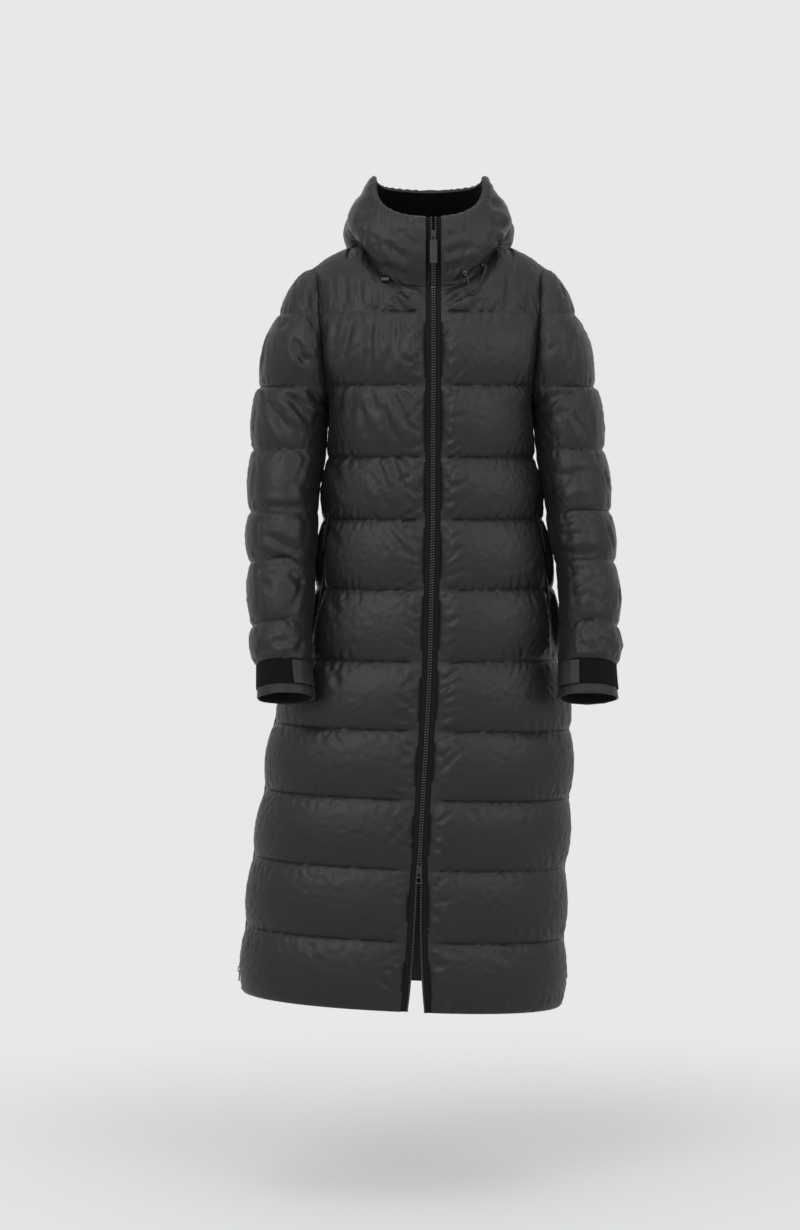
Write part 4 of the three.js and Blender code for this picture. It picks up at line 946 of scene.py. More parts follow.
# Folds that show from the front. The columns are x0 z0 x1 z1 depth width: a straight line from x0, z0 to
# x1, z1 in front view, the depth of its trough and half its width.
BODY_FOLDS = [
    (-146, -26, -144, -86, 2, 7), (-120, -33, -122, -88, 2, 7), (-103, -61, -102, -90, 1.5, 5),
    (-87, -49, -82, -90, 2, 6), (-68, -61, -48, -90, 3, 6), (-56, -51, -15, -88, 3, 6),
    (-41, -55, -17, -74, 2.5, 5), (-177, -33, -176, -80, 1.5, 7), (-163, -22, -160, -80, 1.5, 6),
    (41, -61, 6, -77, 3, 6), (68, -45, 7, -88, 3, 6), (74, -66, 57, -92, 3, 6),
    (84, -62, 78, -92, 2.5, 6), (117, -20, 117, -92, 3, 7), (128, -61, 132, -93, 2, 5),
    (148, -53, 151, -92, 2, 6), (154, -22, 160, -92, 2, 7), (99, -68, 97, -93, 2, 5),
    (45, -53, 30, -71, 2.5, 5), (-171, -99, -177, -134, 2, 6), (-155, -95, -164, -190, 2, 7),
    (-130, -99, -152, -181, 3.5, 8), (-103, -97, -105, -190, 3.5, 8), (-87, -115, -76, -190, 2.5, 7),
    (-64, -99, -76, -189, 3, 7), (-48, -99, -56, -165, 2, 6), (-33, -130, -17, -190, 2.5, 7),
    (-50, -154, -33, -190, 2, 6), (-118, -134, -130, -190, 1.5, 6), (6, -111, 22, -123, 2, 5),
    (8, -103, 25, -102, 2, 5), (11, -154, 18, -190, 1.5, 5), (5, -134, 12, -157, 1.5, 5),
    (173, -103, 167, -126, 3, 6), (167, -144, 180, -134, 2, 5), (-161, -201, -163, -223, 1.5, 5),
    (-150, -201, -152, -255, 2.5, 7), (-130, -206, -134, -262, 2, 7), (-103, -204, -87, -262, 2.5, 7),
    (-87, -231, -56, -297, 3.5, 8), (-72, -208, -25, -295, 3.5, 8), (-52, -208, -14, -286, 3, 7),
    (-119, -231, -103, -295, 2, 7), (-87, -206, -67, -258, 2, 6), (8, -255, 26, -275, 2, 5),
    (8, -274, 19, -290, 2, 5), (11, -245, 20, -259, 1.5, 4), (7, -297, 19, -304, 1.5, 4),
    (8, -223, 22, -237, 1.5, 4), (-173, -311, -150, -360, 1.5, 6), (-150, -311, -161, -354, 1.5, 6),
    (-130, -311, -142, -338, 1.5, 5), (-95, -311, -64, -391, 3, 8), (-76, -309, -37, -402, 3.5, 8),
    (-56, -309, -16, -354, 3, 7), (-103, -336, -72, -404, 2.5, 7), (-177, -352, -156, -402, 2.5, 7),
    (-45, -344, -14, -391, 2.5, 6), (8, -354, 37, -368, 2.5, 5), (8, -367, 30, -384, 2.5, 5),
    (11, -383, 38, -395, 2, 5), (14, -346, 26, -358, 2, 5), (8, -399, 26, -415, 2, 5),
    (162, -311, 169, -344, 1.5, 6), (-87, -422, -41, -476, 2, 7), (-64, -420, -15, -461, 2.5, 7),
    (-173, -422, -150, -461, 2, 6), (6, -430, 26, -445, 2, 5), (7, -445, 24, -469, 2, 5),
    (-168, -530, -154, -572, 1.5, 6), (-48, -535, -16, -585, 2, 6), (-30, -558, -11, -539, 2, 5),
    (12, -535, 35, -549, 2, 5), (159, -507, 173, -489, 2, 6), (154, -631, 177, -604, 2.5, 7),
    (163, -535, 182, -553, 1.5, 6), (-168, -645, -150, -687, 1.5, 7), (-48, -682, -18, -650, 2.5, 6),
    (-41, -710, -21, -678, 2, 5), (2, -701, 26, -664, 2.5, 6), (12, -673, 35, -650, 2, 5),
    (-57, -738, -25, -710, 2, 6), (7, -738, 26, -719, 2, 5), (-57, -802, -24, -761, 2.5, 6),
    (-44, -830, -24, -798, 2, 5), (0, -775, 26, -812, 2, 6), (-4, -826, 16, -849, 2, 5),
    (16, -761, 44, -775, 1.5, 5), (-168, -756, -141, -775, 1.5, 6), (182, -756, 201, -775, 1.5, 6),
    (-57, -895, -30, -863, 2.5, 6), (-48, -932, -33, -895, 2, 5), (-2, -895, 26, -932, 2, 6),
    (-7, -923, 16, -946, 2, 5), (49, -872, 72, -886, 1.5, 6), (136, -872, 160, -881, 1.5, 6),
    (-251, -858, -233, -876, 1.5, 6), (-48, -1044, -41, -1016, 2.5, 6), (-57, -1076, -47, -1048, 2, 6),
    (-7, -997, 16, -1020, 2, 6), (-9, -1034, 12, -1048, 2, 6), (-11, -1057, 17, -1076, 1.5, 6),
    (-168, -969, -141, -983, 1.5, 6), (-11, -1099, 12, -1127, 3, 7), (-11, -1127, 7, -1164, 2, 6),
    (12, -1095, 44, -1104, 1.5, 6), (91, -1095, 123, -1118, 2, 7), (-215, -1081, -187, -1095, 1.5, 6),
    (-76, -1127, -55, -1104, 2, 6),
]
ARM_FOLDS = [
    (-225, -125, -195, -179, 3.5, 9), (-216, -153, -202, -171, 3, 7), (-194, -46, -190, -129, 3, 8),
    (-251, -113, -231, -98, 2, 7), (-271, -224, -218, -288, 5, 10), (-235, -216, -183, -258, 4, 9),
    (-243, -212, -191, -276, 3, 9), (-199, -204, -183, -232, 3, 8), (-287, -311, -259, -307, 2, 8),
    (-295, -398, -191, -403, 5, 9), (-287, -415, -223, -419, 3, 8), (-271, -438, -192, -475, 4, 9),
    (-295, -470, -251, -475, 3, 8), (-219, -351, -191, -387, 2, 8), (186, -129, 210, -113, 3, 7),
    (182, -149, 206, -129, 2, 7), (184, -224, 238, -212, 4, 9), (200, -233, 234, -219, 3, 7),
    (194, -257, 222, -224, 3, 8), (176, -296, 202, -276, 2, 8), (191, -347, 262, -339, 4, 8),
    (193, -357, 235, -349, 3, 7), (193, -372, 270, -343, 3, 8), (194, -423, 262, -411, 3, 8),
    (198, -446, 246, -431, 3, 8), (196, -470, 278, -466, 3, 8), (-231, -495, -198, -528, 4, 9),
    (-283, -491, -231, -495, 3, 8), (-283, -509, -255, -524, 2, 8), (-260, -608, -203, -604, 3, 8),
    (-241, -636, -198, -608, 3, 7), (-283, -622, -250, -618, 2, 7), (205, -495, 252, -500, 3, 8),
    (215, -519, 276, -509, 3, 8), (219, -542, 248, -528, 2, 7), (234, -594, 285, -566, 3, 8),
    (215, -636, 285, -643, 3, 8), (224, -608, 257, -622, 2, 7), (257, -599, 290, -636, 2, 7),
]
HOOD_FOLDS = [
    (-88, 23, -37, -12, 2.5, 8), (-72, 47, -15, 4, 2.5, 8), (-88, -12, -33, -39, 2, 8),
    (-56, 66, -13, 39, 2, 6), (-97, 39, -87, -12, 2, 7), (10, 0, 69, 20, 2.5, 8),
    (12, -23, 79, -4, 2.5, 8), (22, -43, 81, -19, 2.5, 8), (10, 27, 61, 43, 2, 8),
    (84, 39, 108, 16, 2.5, 8), (88, 70, 116, 39, 2, 8), (-127, 55, -95, 70, 3, 8),
    (-134, 39, -99, 20, 3, 9), (-119, 70, -93, 93, 3, 8), (-131, 23, -95, 8, 2, 7),
    (88, 93, 108, 78, 3, 8), (96, 58, 126, 35, 3, 9), (100, 16, 128, 20, 2, 7),
    (84, 66, 124, 47, 2, 7),
]


def press(plane, weight, folds, bend=0.05):
    """How far folds move each point outward: soft troughs with raised sides, fading at both ends."""
    moved = np.zeros(plane.shape[:2])
    for x0, z0, x1, z1, depth, width in folds:
        run = np.array([x1 - x0, z1 - z0], float)
        length = float(np.hypot(*run))
        away = plane - (x0, z0)
        along = (away @ run) / length**2
        across = (away[..., 0] * run[1] - away[..., 1] * run[0]) / length
        across = across + chance.uniform(-bend, bend) * length * np.sin(math.pi * np.clip(along, 0, 1))
        size = across / (width * (0.75 + 0.5 * np.clip(along, 0, 1)))
        ends = smooth(along / 0.2) * smooth((1 - along) / 0.35)
        shape = 0.45 * np.exp(-((np.abs(size) - 1.7) ** 2)) - np.exp(-(size**2))
        moved += depth * ends * shape
    return moved * weight


def seam_puckers(lines, low, high, every, reach, depth):
    """Short folds that run out of the seams at the given heights, both ways."""
    folds = []
    for level in lines:
        for way in (-1, 1):
            u = low + chance.uniform(0, every)
            while u < high:
                length = chance.uniform(*reach)
                slant = chance.uniform(-0.45, 0.45) * length
                end = level + way * length
                folds.append((u, level, u + slant, end, chance.uniform(*depth), chance.uniform(3, 4.6)))
                u += chance.uniform(0.6, 1.6) * every
    return folds


def side_puckers(u, low, high, every, turn):
    """Short slanted folds that run out of an upright seam at distance u."""
    folds = []
    z = low
    while z < high:
        length = chance.uniform(16, 46)
        rise = chance.uniform(0.3, 1.3) * length * (1 if chance.uniform() < 0.8 else -1)
        folds.append((u, z, u + turn * length, z + rise, chance.uniform(1, 2.4), chance.uniform(3.4, 5)))
        z += chance.uniform(0.6, 1.5) * every
    return folds


def long_folds(low, high, levels, every):
    """Folds that run down most of a band, where the photograph shows nothing."""
    folds = []
    for top, bottom in zip(levels, levels[1:]):
        u = low + chance.uniform(0, every)
        while u < high:
            start = top - chance.uniform(0, 0.35) * (top - bottom)
            end = bottom + chance.uniform(0, 0.35) * (top - bottom)
            slant = chance.uniform(-26, 26)
            folds.append((u, start, u + slant, end, chance.uniform(0.8, 2.4), chance.uniform(5, 8)))
            u += chance.uniform(0.6, 1.6) * every
    return folds


def put(material, made, inputs):
    """Sets a node's inputs to values, or links them to the outputs of other nodes."""
    for key, value in inputs.items():
        if isinstance(value, bpy.types.NodeSocket):
            material.node_tree.links.new(value, made.inputs[key])
        else:
            made.inputs[key].default_value = value


def node(material, kind, inputs, **settings):
    """A new shader node of a kind, with its settings and inputs."""
    made = material.node_tree.nodes.new("ShaderNode" + kind)
    for key, value in settings.items():
        setattr(made, key, value)
    put(material, made, inputs)
    return made


def new_material(name, **inputs):
    """A material, its main shader and the node that gives places on the object."""
    material = bpy.data.materials.new(name)
    material.use_nodes = True
    shader = material.node_tree.nodes["Principled BSDF"]
    put(material, shader, {key.replace("_", " "): value for key, value in inputs.items()})
    return material, shader, node(material, "TexCoord", {})


def blotches(material, shader, where, scale, detail, colour, stops, shares, roughness, change):
    """Uneven colour and roughness from one noise."""
    spread = node(material, "TexNoise", {"Scale": scale, "Detail": detail, "Vector": where})
    shade = node(material, "ValToRGB", {"Fac": spread.outputs["Fac"]})
    for element, stop, share in zip(shade.color_ramp.elements, stops, shares):
        element.position = stop
        element.color = (*[c * share for c in colour], 1)
    limits = {"To Min": max(0.02, roughness - change), "To Max": min(1.0, roughness + change)}
    rough = node(material, "MapRange", {"Value": spread.outputs["Fac"], **limits})
    put(material, shader, {"Base Color": shade.outputs["Color"], "Roughness": rough.outputs["Result"]})


def cloth_material(name, colour, roughness, sheen, weave, crinkle):
    """Woven nylon: fine threads, a broad unevenness of the cloth and a soft sheen."""
    material, shader, where = new_material(
        name, Sheen_Weight=sheen, Sheen_Roughness=0.4, Specular_IOR_Level=0.32
    )
    blotches(
        material, shader, where.outputs["Object"], 14, 4, colour, (0.3, 0.7), (0.88, 1.12), roughness, 0.05
    )
    cloth = where.outputs["UV"]
    threads = [
        node(material, "TexWave", {"Scale": 420, "Distortion": 0.6, "Vector": cloth}, bands_direction=way)
        for way in ("X", "Y")
    ]
    crossed = {number: wave.outputs["Fac"] for number, wave in enumerate(threads)}
    woven = node(material, "Math", crossed, operation="MULTIPLY")
    fine = node(material, "Bump", {"Strength": weave, "Distance": 0.0002, "Height": woven.outputs["Value"]})
    stretch = node(material, "Mapping", {"Scale": (1.0, 0.35, 1.0), "Vector": cloth})
    puckers = node(material, "TexNoise", {"Scale": 90, "Detail": 3, "Vector": stretch.outputs["Vector"]})
    bump = {"Strength": crinkle, "Distance": 0.0015, "Height": puckers.outputs["Fac"]}
    wide = node(material, "Bump", {**bump, "Normal": fine.outputs["Normal"]})
    put(material, shader, {"Normal": wide.outputs["Normal"]})
    return material


shell_cloth = cloth_material("shell nylon", (0.0085, 0.0085, 0.0087), 0.42, 0.02, 0.25, 0.2)
lining_cloth = cloth_material("lining", (0.008, 0.008, 0.0085), 0.6, 0.02, 0.25, 0.2)
ROW_BREAKS = np.flatnonzero(seam_rows(BODY_ROWS)).tolist()
SEAM_LEVELS = [float(level_z(np.array(float(band)))) for band in range(YOKE_BAND + 1)]
bodies = []
cuts = {}
GATHER = {"deep": 1.1, "long": 11}  # waves of the hood's rim, in mm
BELOW_HEM = 100  # how far under the lowest seam folds start


def seam_ease(along, seams, columns):
    """Shares from 0 on a seam to 1 a little way off it, alike in each column."""
    away = np.abs(along[:, None] - along[seams][None, :]).min(1)
    return smooth(away / 7)[:, None] * np.ones(columns)


for name, panel in (("front_right", front_right), ("front_left", front_left), ("back", back)):
    outer = finer_both(settled[name], ROW_BREAKS)
    out = unit(finer_both(panel.normals, ROW_BREAKS))
    seams = [2 * i for i in ROW_BREAKS]
    ease = seam_ease(run_of(outer), seams, outer.shape[1])
    u = across_of(outer)
    if panel.kind == "back":
        u = u - u[:, [outer.shape[1] // 2]]
    elif name == "front_right":
        u = u - u[:, [-1]]
    edge = from_ends(outer.shape[1])
    ease = ease * smooth(edge / 3)[None, :]
    flat = np.stack([u, outer[..., 2]], axis=-1)
    low, high = float(u.min()), float(u.max())
    folds = seam_puckers(SEAM_LEVELS, low, high, 15, (9, 26), (0.5, 1.5))
    if panel.kind == "back":
        folds += long_folds(low, high, SEAM_LEVELS[::-1], 34)
        moved = press(flat, ease, folds)
    else:
        turn = -1 if name == "front_right" else 1
        start = SEAM_LEVELS[0] - BELOW_HEM
        folds += side_puckers(turn * 6.0, start, SEAM_LEVELS[-1], 17, turn)
        folds += side_puckers(turn * (max(-low, high) - 4.0), start, ARMPIT_Z - 20, 30, -turn)
        moved = press(flat, ease, folds)
        moved += press(outer[..., [0, 2]], ease * smooth(-out[..., 1] * 2.5), BODY_FOLDS, 0.03)
    outer = outer + out * np.clip(moved, -5, 3)[..., None]
    cuts[name] = outer
    rows = coarse_ids(len(BODY_ROWS), 4, ROW_BREAKS)
    columns = coarse_ids(panel.base.shape[1], 3, (NECK_COLUMN,) if panel.kind == "front" else ())
    inner = panel.base[np.ix_(rows, columns)]
    piece = shell(name + "_quilting", outer, inner, 2 * rows, 2 * columns)
    bodies.append((piece, name))
SLEEVE_BREAKS = np.flatnonzero(seam_rows(sleeve_right.row)).tolist()
for name, sleeve in (("sleeve_right", sleeve_right), ("sleeve_left", sleeve_left)):
    outer = finer_both(settled[name], SLEEVE_BREAKS)
    out = unit(finer_both(sleeve.normals, SLEEVE_BREAKS))
    seams = [2 * i for i in SLEEVE_BREAKS if i != len(ARM_ROWS)]
    middle = outer[:, outer.shape[1] // 2, 2]
    ease = seam_ease(middle, seams, outer.shape[1])
    edge = from_ends(outer.shape[1])
    on_cap = (np.arange(len(outer)) > 2 * len(ARM_ROWS))[:, None]
    ease = ease * np.where(on_cap, smooth(edge / 4)[None, :], 1)
    u = across_of(outer)
    flat = np.stack([u, outer[..., 2]], axis=-1)
    levels = [float(middle[i]) for i in seams]
    folds = seam_puckers(levels, 10, float(u.max()) - 10, 16, (8, 24), (0.5, 1.5))
    folds += long_folds(20, float(u.max()) - 20, levels[::-1], 60)
    moved = press(flat, ease, folds)
    moved += press(outer[..., [0, 2]], ease * smooth(-out[..., 1] * 2.5), ARM_FOLDS, 0.03)
    outer = outer + out * np.clip(moved, -6, 3.5)[..., None]
    outer[: 2 * len(ARM_ROWS) + 1, -1] = outer[: 2 * len(ARM_ROWS) + 1, 0]
    cuts[name] = outer
    rows = coarse_ids(len(sleeve.row), 4, (*SLEEVE_BREAKS, len(ARM_ROWS)))
    columns = coarse_ids(SLEEVE_COLUMNS + 1, 3)
    inner = sleeve.base[np.ix_(rows, columns)]
    wraps = np.arange(len(outer)) <= 2 * len(ARM_ROWS)
    piece = shell(name + "_quilting", outer, inner, 2 * rows, 2 * columns, wraps, tip=True)
    bodies.append((piece, name))
for name, first, last in HOOD_PIECES:
    base = hood_base[:, first : last + 1]
    outer = finer_both(settled[name])
    out = unit(finer_both(hood_normals[:, first : last + 1]))
    edge = from_ends(outer.shape[1])
    foot = np.arange(outer.shape[0])
    top = foot[::-1]
    ease = smooth(edge / 3)[None, :] * smooth(foot / 3)[:, None] * smooth(top / 3)[:, None]
    u = across_of(outer)
    flat = np.stack([u, outer[..., 2]], axis=-1)
    folds = seam_puckers([float(outer[:, 0, 2].min()) + 4], 5, float(u.max()), 12, (12, 34), (0.8, 2.0))
    moved = press(flat, ease, folds)
    moved += press(outer[..., [0, 2]], ease * smooth(-out[..., 1] * 2 + 0.6), HOOD_FOLDS, 0.03)
    rim = np.exp(-((top / 9) ** 2))[:, None]
    waves = np.sin(2 * math.pi * u / GATHER["long"] + 2 * np.sin(u / 17))
    moved += GATHER["deep"] * rim * waves * smooth(edge / 3)
    outer = outer + out * np.clip(moved, -5, 3)[..., None]
    rows = coarse_ids(len(HOOD_ROWS), 2)
    columns = coarse_ids(base.shape[1], 2)
    piece = shell(name + "_padding", outer, base[np.ix_(rows, columns)], 2 * rows, 2 * columns)
    bodies.append((piece, name))
    cuts[name] = outer


for piece, cad_node in bodies:
    piece.data.materials.append(shell_cloth)
    piece.data.materials.append(lining_cloth)
    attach(piece, "coat")
    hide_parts(cad_node)


def plain_material(name, colour, roughness, grain, metallic=0.0, fine=0.3, coat=0.0):
    """Moulded, painted or woven trim: uneven colour and roughness with a fine grain."""
    material, shader, where = new_material(name, Metallic=metallic, Coat_Weight=coat)
    blotches(
        material, shader, where.outputs["Object"], 220, 5, colour, (0.35, 0.75), (0.75, 1.3), roughness, 0.08
    )
    grains = node(material, "TexNoise", {"Scale": grain, "Detail": 2, "Vector": where.outputs["Object"]})
    bump = node(material, "Bump", {"Strength": fine, "Distance": 0.0003, "Height": grains.outputs["Fac"]})
    put(material, shader, {"Normal": bump.outputs["Normal"]})
    return material


def ribbed(material, direction, count, depth):
    """Adds fine woven ribs to a trim material."""
    nodes = material.node_tree.nodes
    ribs = {"Scale": count, "Distortion": 0.4, "Vector": nodes["Texture Coordinate"].outputs["Object"]}
    wave = node(material, "TexWave", ribs, bands_direction=direction)
    grain = {"Normal": nodes["Bump"].outputs["Normal"], "Height": wave.outputs["Fac"]}
    bump = node(material, "Bump", {**grain, "Strength": depth, "Distance": 0.0004})
    put(material, nodes["Principled BSDF"], {"Normal": bump.outputs["Normal"]})
    return material


def less_shiny(material, level):
    put(material, material.node_tree.nodes["Principled BSDF"], {"Specular IOR Level": level})


cuff_cloth = cloth_material("cuff nylon", (0.008, 0.008, 0.0082), 0.5, 0.02, 0.3, 0.12)
tape_cloth = ribbed(plain_material("zip tape", (0.004, 0.004, 0.0042), 0.85, 900), "Z", 260, 0.5)
less_shiny(tape_cloth, 0.2)
hook_cloth = plain_material("hook and loop", (0.0025, 0.0025, 0.0025), 0.95, 1500, fine=1.0)
less_shiny(hook_cloth, 0.15)
tooth_plastic = plain_material("zip teeth", (0.05, 0.052, 0.055), 0.22, 600, fine=0.1, coat=0.4)
painted_metal = plain_material(
    "black painted metal", (0.02, 0.02, 0.021), 0.32, 700, metallic=0.4, fine=0.15, coat=0.3
)
tab_cloth = ribbed(plain_material("pull tab", (0.005, 0.005, 0.0053), 0.6, 900), "X", 420, 0.4)
cord_braid = ribbed(plain_material("braided cord", (0.010, 0.010, 0.0105), 0.65, 900), "DIAGONAL", 520, 0.7)
lock_plastic = plain_material("cord lock plastic", (0.02, 0.02, 0.021), 0.22, 500, fine=0.1, coat=0.5)
thread = ribbed(plain_material("sewing thread", (0.006, 0.006, 0.0065), 0.6, 900), "DIAGONAL", 900, 0.4)


def finish_piece(thing, nodes, materials, body="coat"):
    """Gives a piece its materials and body, and hides the nodes it replaces."""
    for material in materials:
        thing.data.materials.append(material)
    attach(thing, body)
    if nodes:
        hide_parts(*nodes)


def from_node(of_node, name, size, soften, lump, grain):
    """A finer copy of a node's closed form in metres, with softened edges and a slight unevenness."""
    source = bpy.data.objects[of_node]
    work = bmesh.new()
    work.from_mesh(source.data)
    work.transform(source.matrix_world)
    bmesh.ops.remove_doubles(work, verts=work.verts, dist=1e-6)
    corners = [e for e in work.edges if len(e.link_faces) == 2 and e.calc_face_angle(0) > math.radians(50)]
    bmesh.ops.bevel(
        work, geom=corners, offset=soften, segments=2, profile=0.6, affect="EDGES", clamp_overlap=True
    )
    for step in range(7):
        long = [e for e in work.edges if e.calc_length() > size]
        if not long:
            break
        bmesh.ops.subdivide_edges(work, edges=long, cuts=1)
        bmesh.ops.triangulate(work, faces=[f for f in work.faces if len(f.verts) > 4])
    work.normal_update()
    for vertex in work.verts:
        vertex.co += vertex.normal * (noise.noise(vertex.co * grain) * lump)
    mesh = bpy.data.meshes.new(name)
    work.to_mesh(mesh)
    work.free()
    rounded(mesh, 50)
    return place(name, mesh)


# Bands of cloth. The columns are the node without its side, the longest edge in metres, how far corners are
# softened, how uneven the cloth is, its grain, the slot and the material.
BAND_LOOKS = [
    ("cuff_", 0.006, 0.0012, 0.0011, 55, "cuff_cloth", cuff_cloth),
    ("cuff_tab_", 0.004, 0.0008, 0.0004, 90, "cuff_cloth", cuff_cloth),
    ("cuff_hook_strip_", 0.005, 0.0003, 0.0002, 200, "hook_and_loop", hook_cloth),
    ("zip_tape_", 0.012, 0.0001, 0.0001, 60, "zip_tape", tape_cloth),
    ("side_zip_", 0.012, 0.0001, 0.0001, 60, "zip_tape", tape_cloth),
    ("pocket_zip_", 0.012, 0.0001, 0.0001, 60, "zip_tape", tape_cloth),
]
TUCK = 0.45  # how far the front tapes reach under the panels' edges, in mm
for side in ("right", "left"):
    for kind, size, soften, lump, grain, slot, material in BAND_LOOKS:
        band = from_node(kind + side, kind + side + "_cloth", size, soften, lump, grain)
        if kind == "zip_tape_":
            for vertex in band.data.vertices:
                beside = vertex.co.x / MM - float(zip_line(vertex.co.z / MM, "x"))
                if abs(beside) > TAPE_WIDTH - 0.4:
                    vertex.co.x += math.copysign(TUCK * MM, beside)
        finish_piece(band, [kind + side], [material])
PULL_LINK = 0.0065  # how far the wire link of a pull reaches below its hinge
for name in ("front_top_pull", "pocket_right_pull", "pocket_left_pull"):
    pull = from_node(name, name + "_tab", 0.004, 0.0003, 0.00012, 300)
    hinge = max(vertex.co.z for vertex in pull.data.vertices)
    for face in pull.data.polygons:
        face.material_index = int(face.center.z < hinge - PULL_LINK)
    finish_piece(pull, [name], [painted_metal, tab_cloth], body=name)


def along_path(points, pitch, offset=0.0):
    """Places at equal steps along a line of points, with the way the line runs there."""
    run = run_of(points)
    at = np.arange(offset + pitch / 2, run[-1], pitch)
    place = np.stack([np.interp(at, run, points[:, k]) for k in range(3)], axis=-1)
    ahead = np.stack([np.interp(at + 0.5, run, points[:, k]) for k in range(3)], axis=-1)
    behind = np.stack([np.interp(at - 0.5, run, points[:, k]) for k in range(3)], axis=-1)
    return place, unit(ahead - behind)


def many(name, places, along, out, section):
    """One mesh of like small closed bodies. The section's rows are rings of points across, along and out in
    mm."""
    across = unit(np.cross(along, out))
    out = unit(np.cross(across, along))
    rings, corners = section.shape[:2]
    shape = section.reshape(-1, 3)
    points = (
        places[:, None]
        + across[:, None] * shape[None, :, :1]
        + along[:, None] * shape[None, :, 1:2]
        + out[:, None] * shape[None, :, 2:]
    )
    faces = [tuple(range(corners))[::-1], tuple(range((rings - 1) * corners, rings * corners))]
    for i in range(rings - 1):
        for j in range(corners):
            k = (j + 1) % corners
            faces.append((i * corners + j, i * corners + k, (i + 1) * corners + k, (i + 1) * corners + j))
    step = rings * corners
    everything = [tuple(step * n + v for v in face) for n in range(len(places)) for face in faces]
    mesh = bpy.data.meshes.new(name)
    mesh.from_pydata((points.reshape(-1, 3) * MM).tolist(), [], everything)
    work = bmesh.new()
    work.from_mesh(mesh)
    bmesh.ops.recalc_face_normals(work, faces=work.faces)
    work.to_mesh(mesh)
    work.free()
    rounded(mesh, 45)
    return place(name, mesh)


def tooth(wide, tall, high):
    """A moulded zip tooth: a foot, a shoulder and a narrower crown."""
    rings = []
    for share, level in ((1.0, -0.6), (1.0, 0.45 * high), (0.62, high)):
        x, y = wide / 2 * share, tall / 2 * share
        rings.append([(-x, -y, level), (x, -y, level), (x, y, level), (-x, y, level)])
    return np.array(rings)


TOOTH = {"pitch": 4.2, "wide": 3.6, "tall": 1.9, "high": 1.5}
for side, panel, edge, hood_edge in ((-1, front_right, -1, 0), (1, front_left, 0, -1)):
    path = np.concatenate([panel.base[:-1, edge], hood_base[:, hood_edge]])
    path = path[np.concatenate([[True], np.linalg.norm(np.diff(path, axis=0), axis=-1) > 0.5])]
    places, along = along_path(path, TOOTH["pitch"], 0 if side < 0 else TOOTH["pitch"] / 2)
    up = np.sign(along[:, 2])
    out = unit(np.stack([np.zeros(len(along)), -up * along[:, 2], up * along[:, 1]], axis=-1))
    drawn = np.where(places[:, 2] > TOP_SLIDER_Z, PARTED, 0)
    places = places + out * 2.9
    places[:, 0] -= side * (GAP + TAPE_WIDTH - drawn - TOOTH["wide"] / 2 + 0.1)
    teeth = many(
        f"front_teeth_{'right' if side < 0 else 'left'}", places, along, out,
        tooth(TOOTH["wide"], TOOTH["tall"], TOOTH["high"]),
    )
    finish_piece(teeth, [], [tooth_plastic])
small = tooth(3.4, 1.5, 0.6)
for name, panel in (("right", front_right), ("left", front_left)):
    side = -1 if name == "right" else 1
    columns = np.flatnonzero((panel.s > POCKET["from"] - 0.001) & (panel.s < POCKET["to"] + 0.001))
    rows = (BODY_ROWS >= POCKET["bottom"]) & (BODY_ROWS <= POCKET["top"])
    line = panel.start[rows][:, columns].mean(1) + panel.normals[rows][:, columns].mean(1) * 1.9
    places, along = along_path(line, 2.2)
    outward = panel.normals[rows][:, columns].mean(1)
    facing = unit(np.stack([np.interp(places[:, 2], line[:, 2], outward[:, k]) for k in range(3)], axis=-1))
    finish_piece(many(f"pocket_teeth_{name}", places, along, facing, small), [], [tooth_plastic])
    end = 0 if side < 0 else -1
    rows = BODY_ROWS <= SIDE_ZIP_TOP[name]
    line = (panel.start[rows, end] + back.start[rows, end]) / 2 + np.array([side * 1.9, 0, 0])
    places, along = along_path(line, 2.2)
    facing = np.tile([float(side), 0.0, 0.0], (len(places), 1))
    finish_piece(many(f"side_teeth_{name}", places, along, facing, small), [], [tooth_plastic])

# Quilting stitches along the seams
THREAD = 0.34  # half the thickness of the thread
STITCH_PITCH = 4.2
turns = [k * math.pi / 2 for k in range(4)]
ends = ((0.3, -1.3), (1, -0.5), (1, 0.5), (0.3, 1.3))  # share of the thickness, and place along the stitch
STITCH = np.array(
    [[(THREAD * share * math.cos(a), y, THREAD * share * math.sin(a)) for a in turns] for share, y in ends]
)
for name, grid in cuts.items():
    if name.startswith(("hood", "collar")):
        continue
    base = {"front_right": front_right, "front_left": front_left, "back": back}.get(name)
    breaks = ROW_BREAKS if base else SLEEVE_BREAKS
    owner = base or {"sleeve_right": sleeve_right, "sleeve_left": sleeve_left}[name]
    spots, runs, faces_out = [], [], []
    for i in breaks[1:-1]:
        line = grid[2 * i, 2:-2]
        places, along = along_path(line, STITCH_PITCH)
        normal = unit(finer_both(owner.normals[i : i + 1].repeat(4, axis=0)))[0, 2:-2]
        length = run_of(line)
        at = np.arange(STITCH_PITCH / 2, length[-1], STITCH_PITCH)
        facing = unit(np.stack([np.interp(at, length, normal[:, k]) for k in range(3)], axis=-1))
        spots.append(places + facing * 0.25)
        runs.append(along)
        faces_out.append(facing)
    spots, runs, faces_out = (np.concatenate(parts) for parts in (spots, runs, faces_out))
    stitches = many(name + "_stitching", spots, runs, faces_out, STITCH)
    finish_piece(stitches, [], [thread])

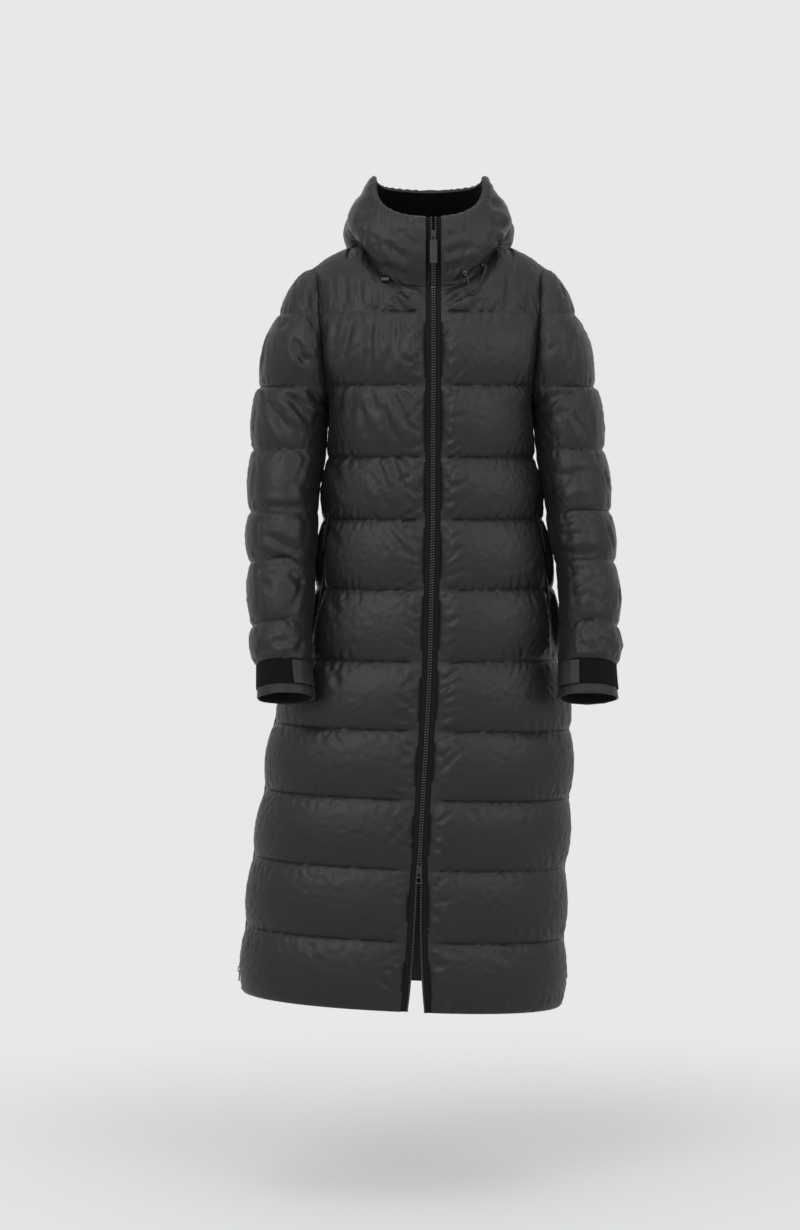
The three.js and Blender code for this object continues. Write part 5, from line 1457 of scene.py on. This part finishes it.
# Hood cord, its lock, and the hard pieces that keep their CAD forms
curve = bpy.data.curves.new("hood_cord_left_cord", "CURVE")
curve.dimensions = "3D"
curve.bevel_depth = 1.5 * MM
curve.bevel_resolution = 4
curve.resolution_u = 6
curve.use_fill_caps = True
spline = curve.splines.new("POLY")
route = centripetal(np.array(CORD_ROUTE, float), np.linspace(0, 1, 40))
spline.points.add(len(route) - 1)
knots = np.concatenate([route * MM, np.ones((len(route), 1))], axis=1)
spline.points.foreach_set("co", knots.ravel().tolist())
cord = place("hood_cord_left_cord", curve)
finish_piece(cord, ["hood_cord_left"], [cord_braid])
HARD = {
    painted_metal: ("slider", "front_bottom_pull", "side_right_pull", "side_left_pull", "eyelet"),
    lock_plastic: ("cord_lock",),
}
for thing in list(bpy.data.objects):
    for material, names in HARD.items():
        if thing.type == "MESH" and any(part in thing.name for part in names):
            thing.data.materials.clear()
            thing.data.materials.append(material)

# A patch of floor that fades out at its rim, and light
FLOOR = {"z": -1500, "radius": 1500, "fades_from": 450}
disc = bpy.data.meshes.new("floor")
turns = np.linspace(0, 2 * math.pi, 65)[:-1]
ring = np.stack([np.cos(turns), np.sin(turns), np.zeros(64)], axis=-1) * FLOOR["radius"] + (0, 0, FLOOR["z"])
disc.from_pydata((ring * MM).tolist(), [], [tuple(range(64))])
ground = place("floor", disc)
paper, shader, where = new_material(
    "studio floor", Base_Color=(0.68, 0.69, 0.7, 1), Roughness=0.9, Specular_IOR_Level=0.1
)
flatten = node(paper, "VectorMath", {0: where.outputs["Object"], 1: (1, 1, 0)}, operation="MULTIPLY")
away = node(paper, "VectorMath", {0: flatten.outputs["Vector"]}, operation="LENGTH")
limits = {"From Min": FLOOR["fades_from"] * MM, "From Max": FLOOR["radius"] * MM}
fade = node(paper, "MapRange", {"Value": away.outputs["Value"], **limits}, interpolation_type="SMOOTHSTEP")
clear = node(paper, "BsdfTransparent", {})
ends = {1: shader.outputs["BSDF"], 2: clear.outputs["BSDF"]}
blend = node(paper, "MixShader", {0: fade.outputs["Result"], **ends})
put(paper, paper.node_tree.nodes["Material Output"], {"Surface": blend.outputs["Shader"]})
disc.materials.append(paper)
ground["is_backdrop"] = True
LIGHTS = [
    {"at": (-1900, -2900, 1500), "size": 2400, "watts": 52},
    {"at": (2500, -2900, 1200), "size": 2400, "watts": 36},
    {"at": (0, -900, 2900), "size": 2600, "watts": 24},
]
for n, row in enumerate(LIGHTS):
    data = bpy.data.lights.new(f"light {n + 1}", "AREA")
    data.energy = row["watts"]
    data.size = row["size"] * MM
    lamp = place(f"light {n + 1}", data)
    lamp.location = Vector(row["at"]) * MM
    aim = Vector((0, 0, -0.5)) - lamp.location
    lamp.rotation_euler = aim.to_track_quat("-Z", "Y").to_euler()
world = bpy.data.worlds.new("studio")
bpy.context.scene.world = world
world.use_nodes = True
world.node_tree.nodes["Background"].inputs["Color"].default_value = (0.807, 0.807, 0.81, 1)
world.node_tree.nodes["Background"].inputs["Strength"].default_value = 1.0
bpy.context.scene.view_settings.view_transform = "Standard"

size = {"cad": [list(corner) for corner in cad_box], "visual": [list(corner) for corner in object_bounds()]}
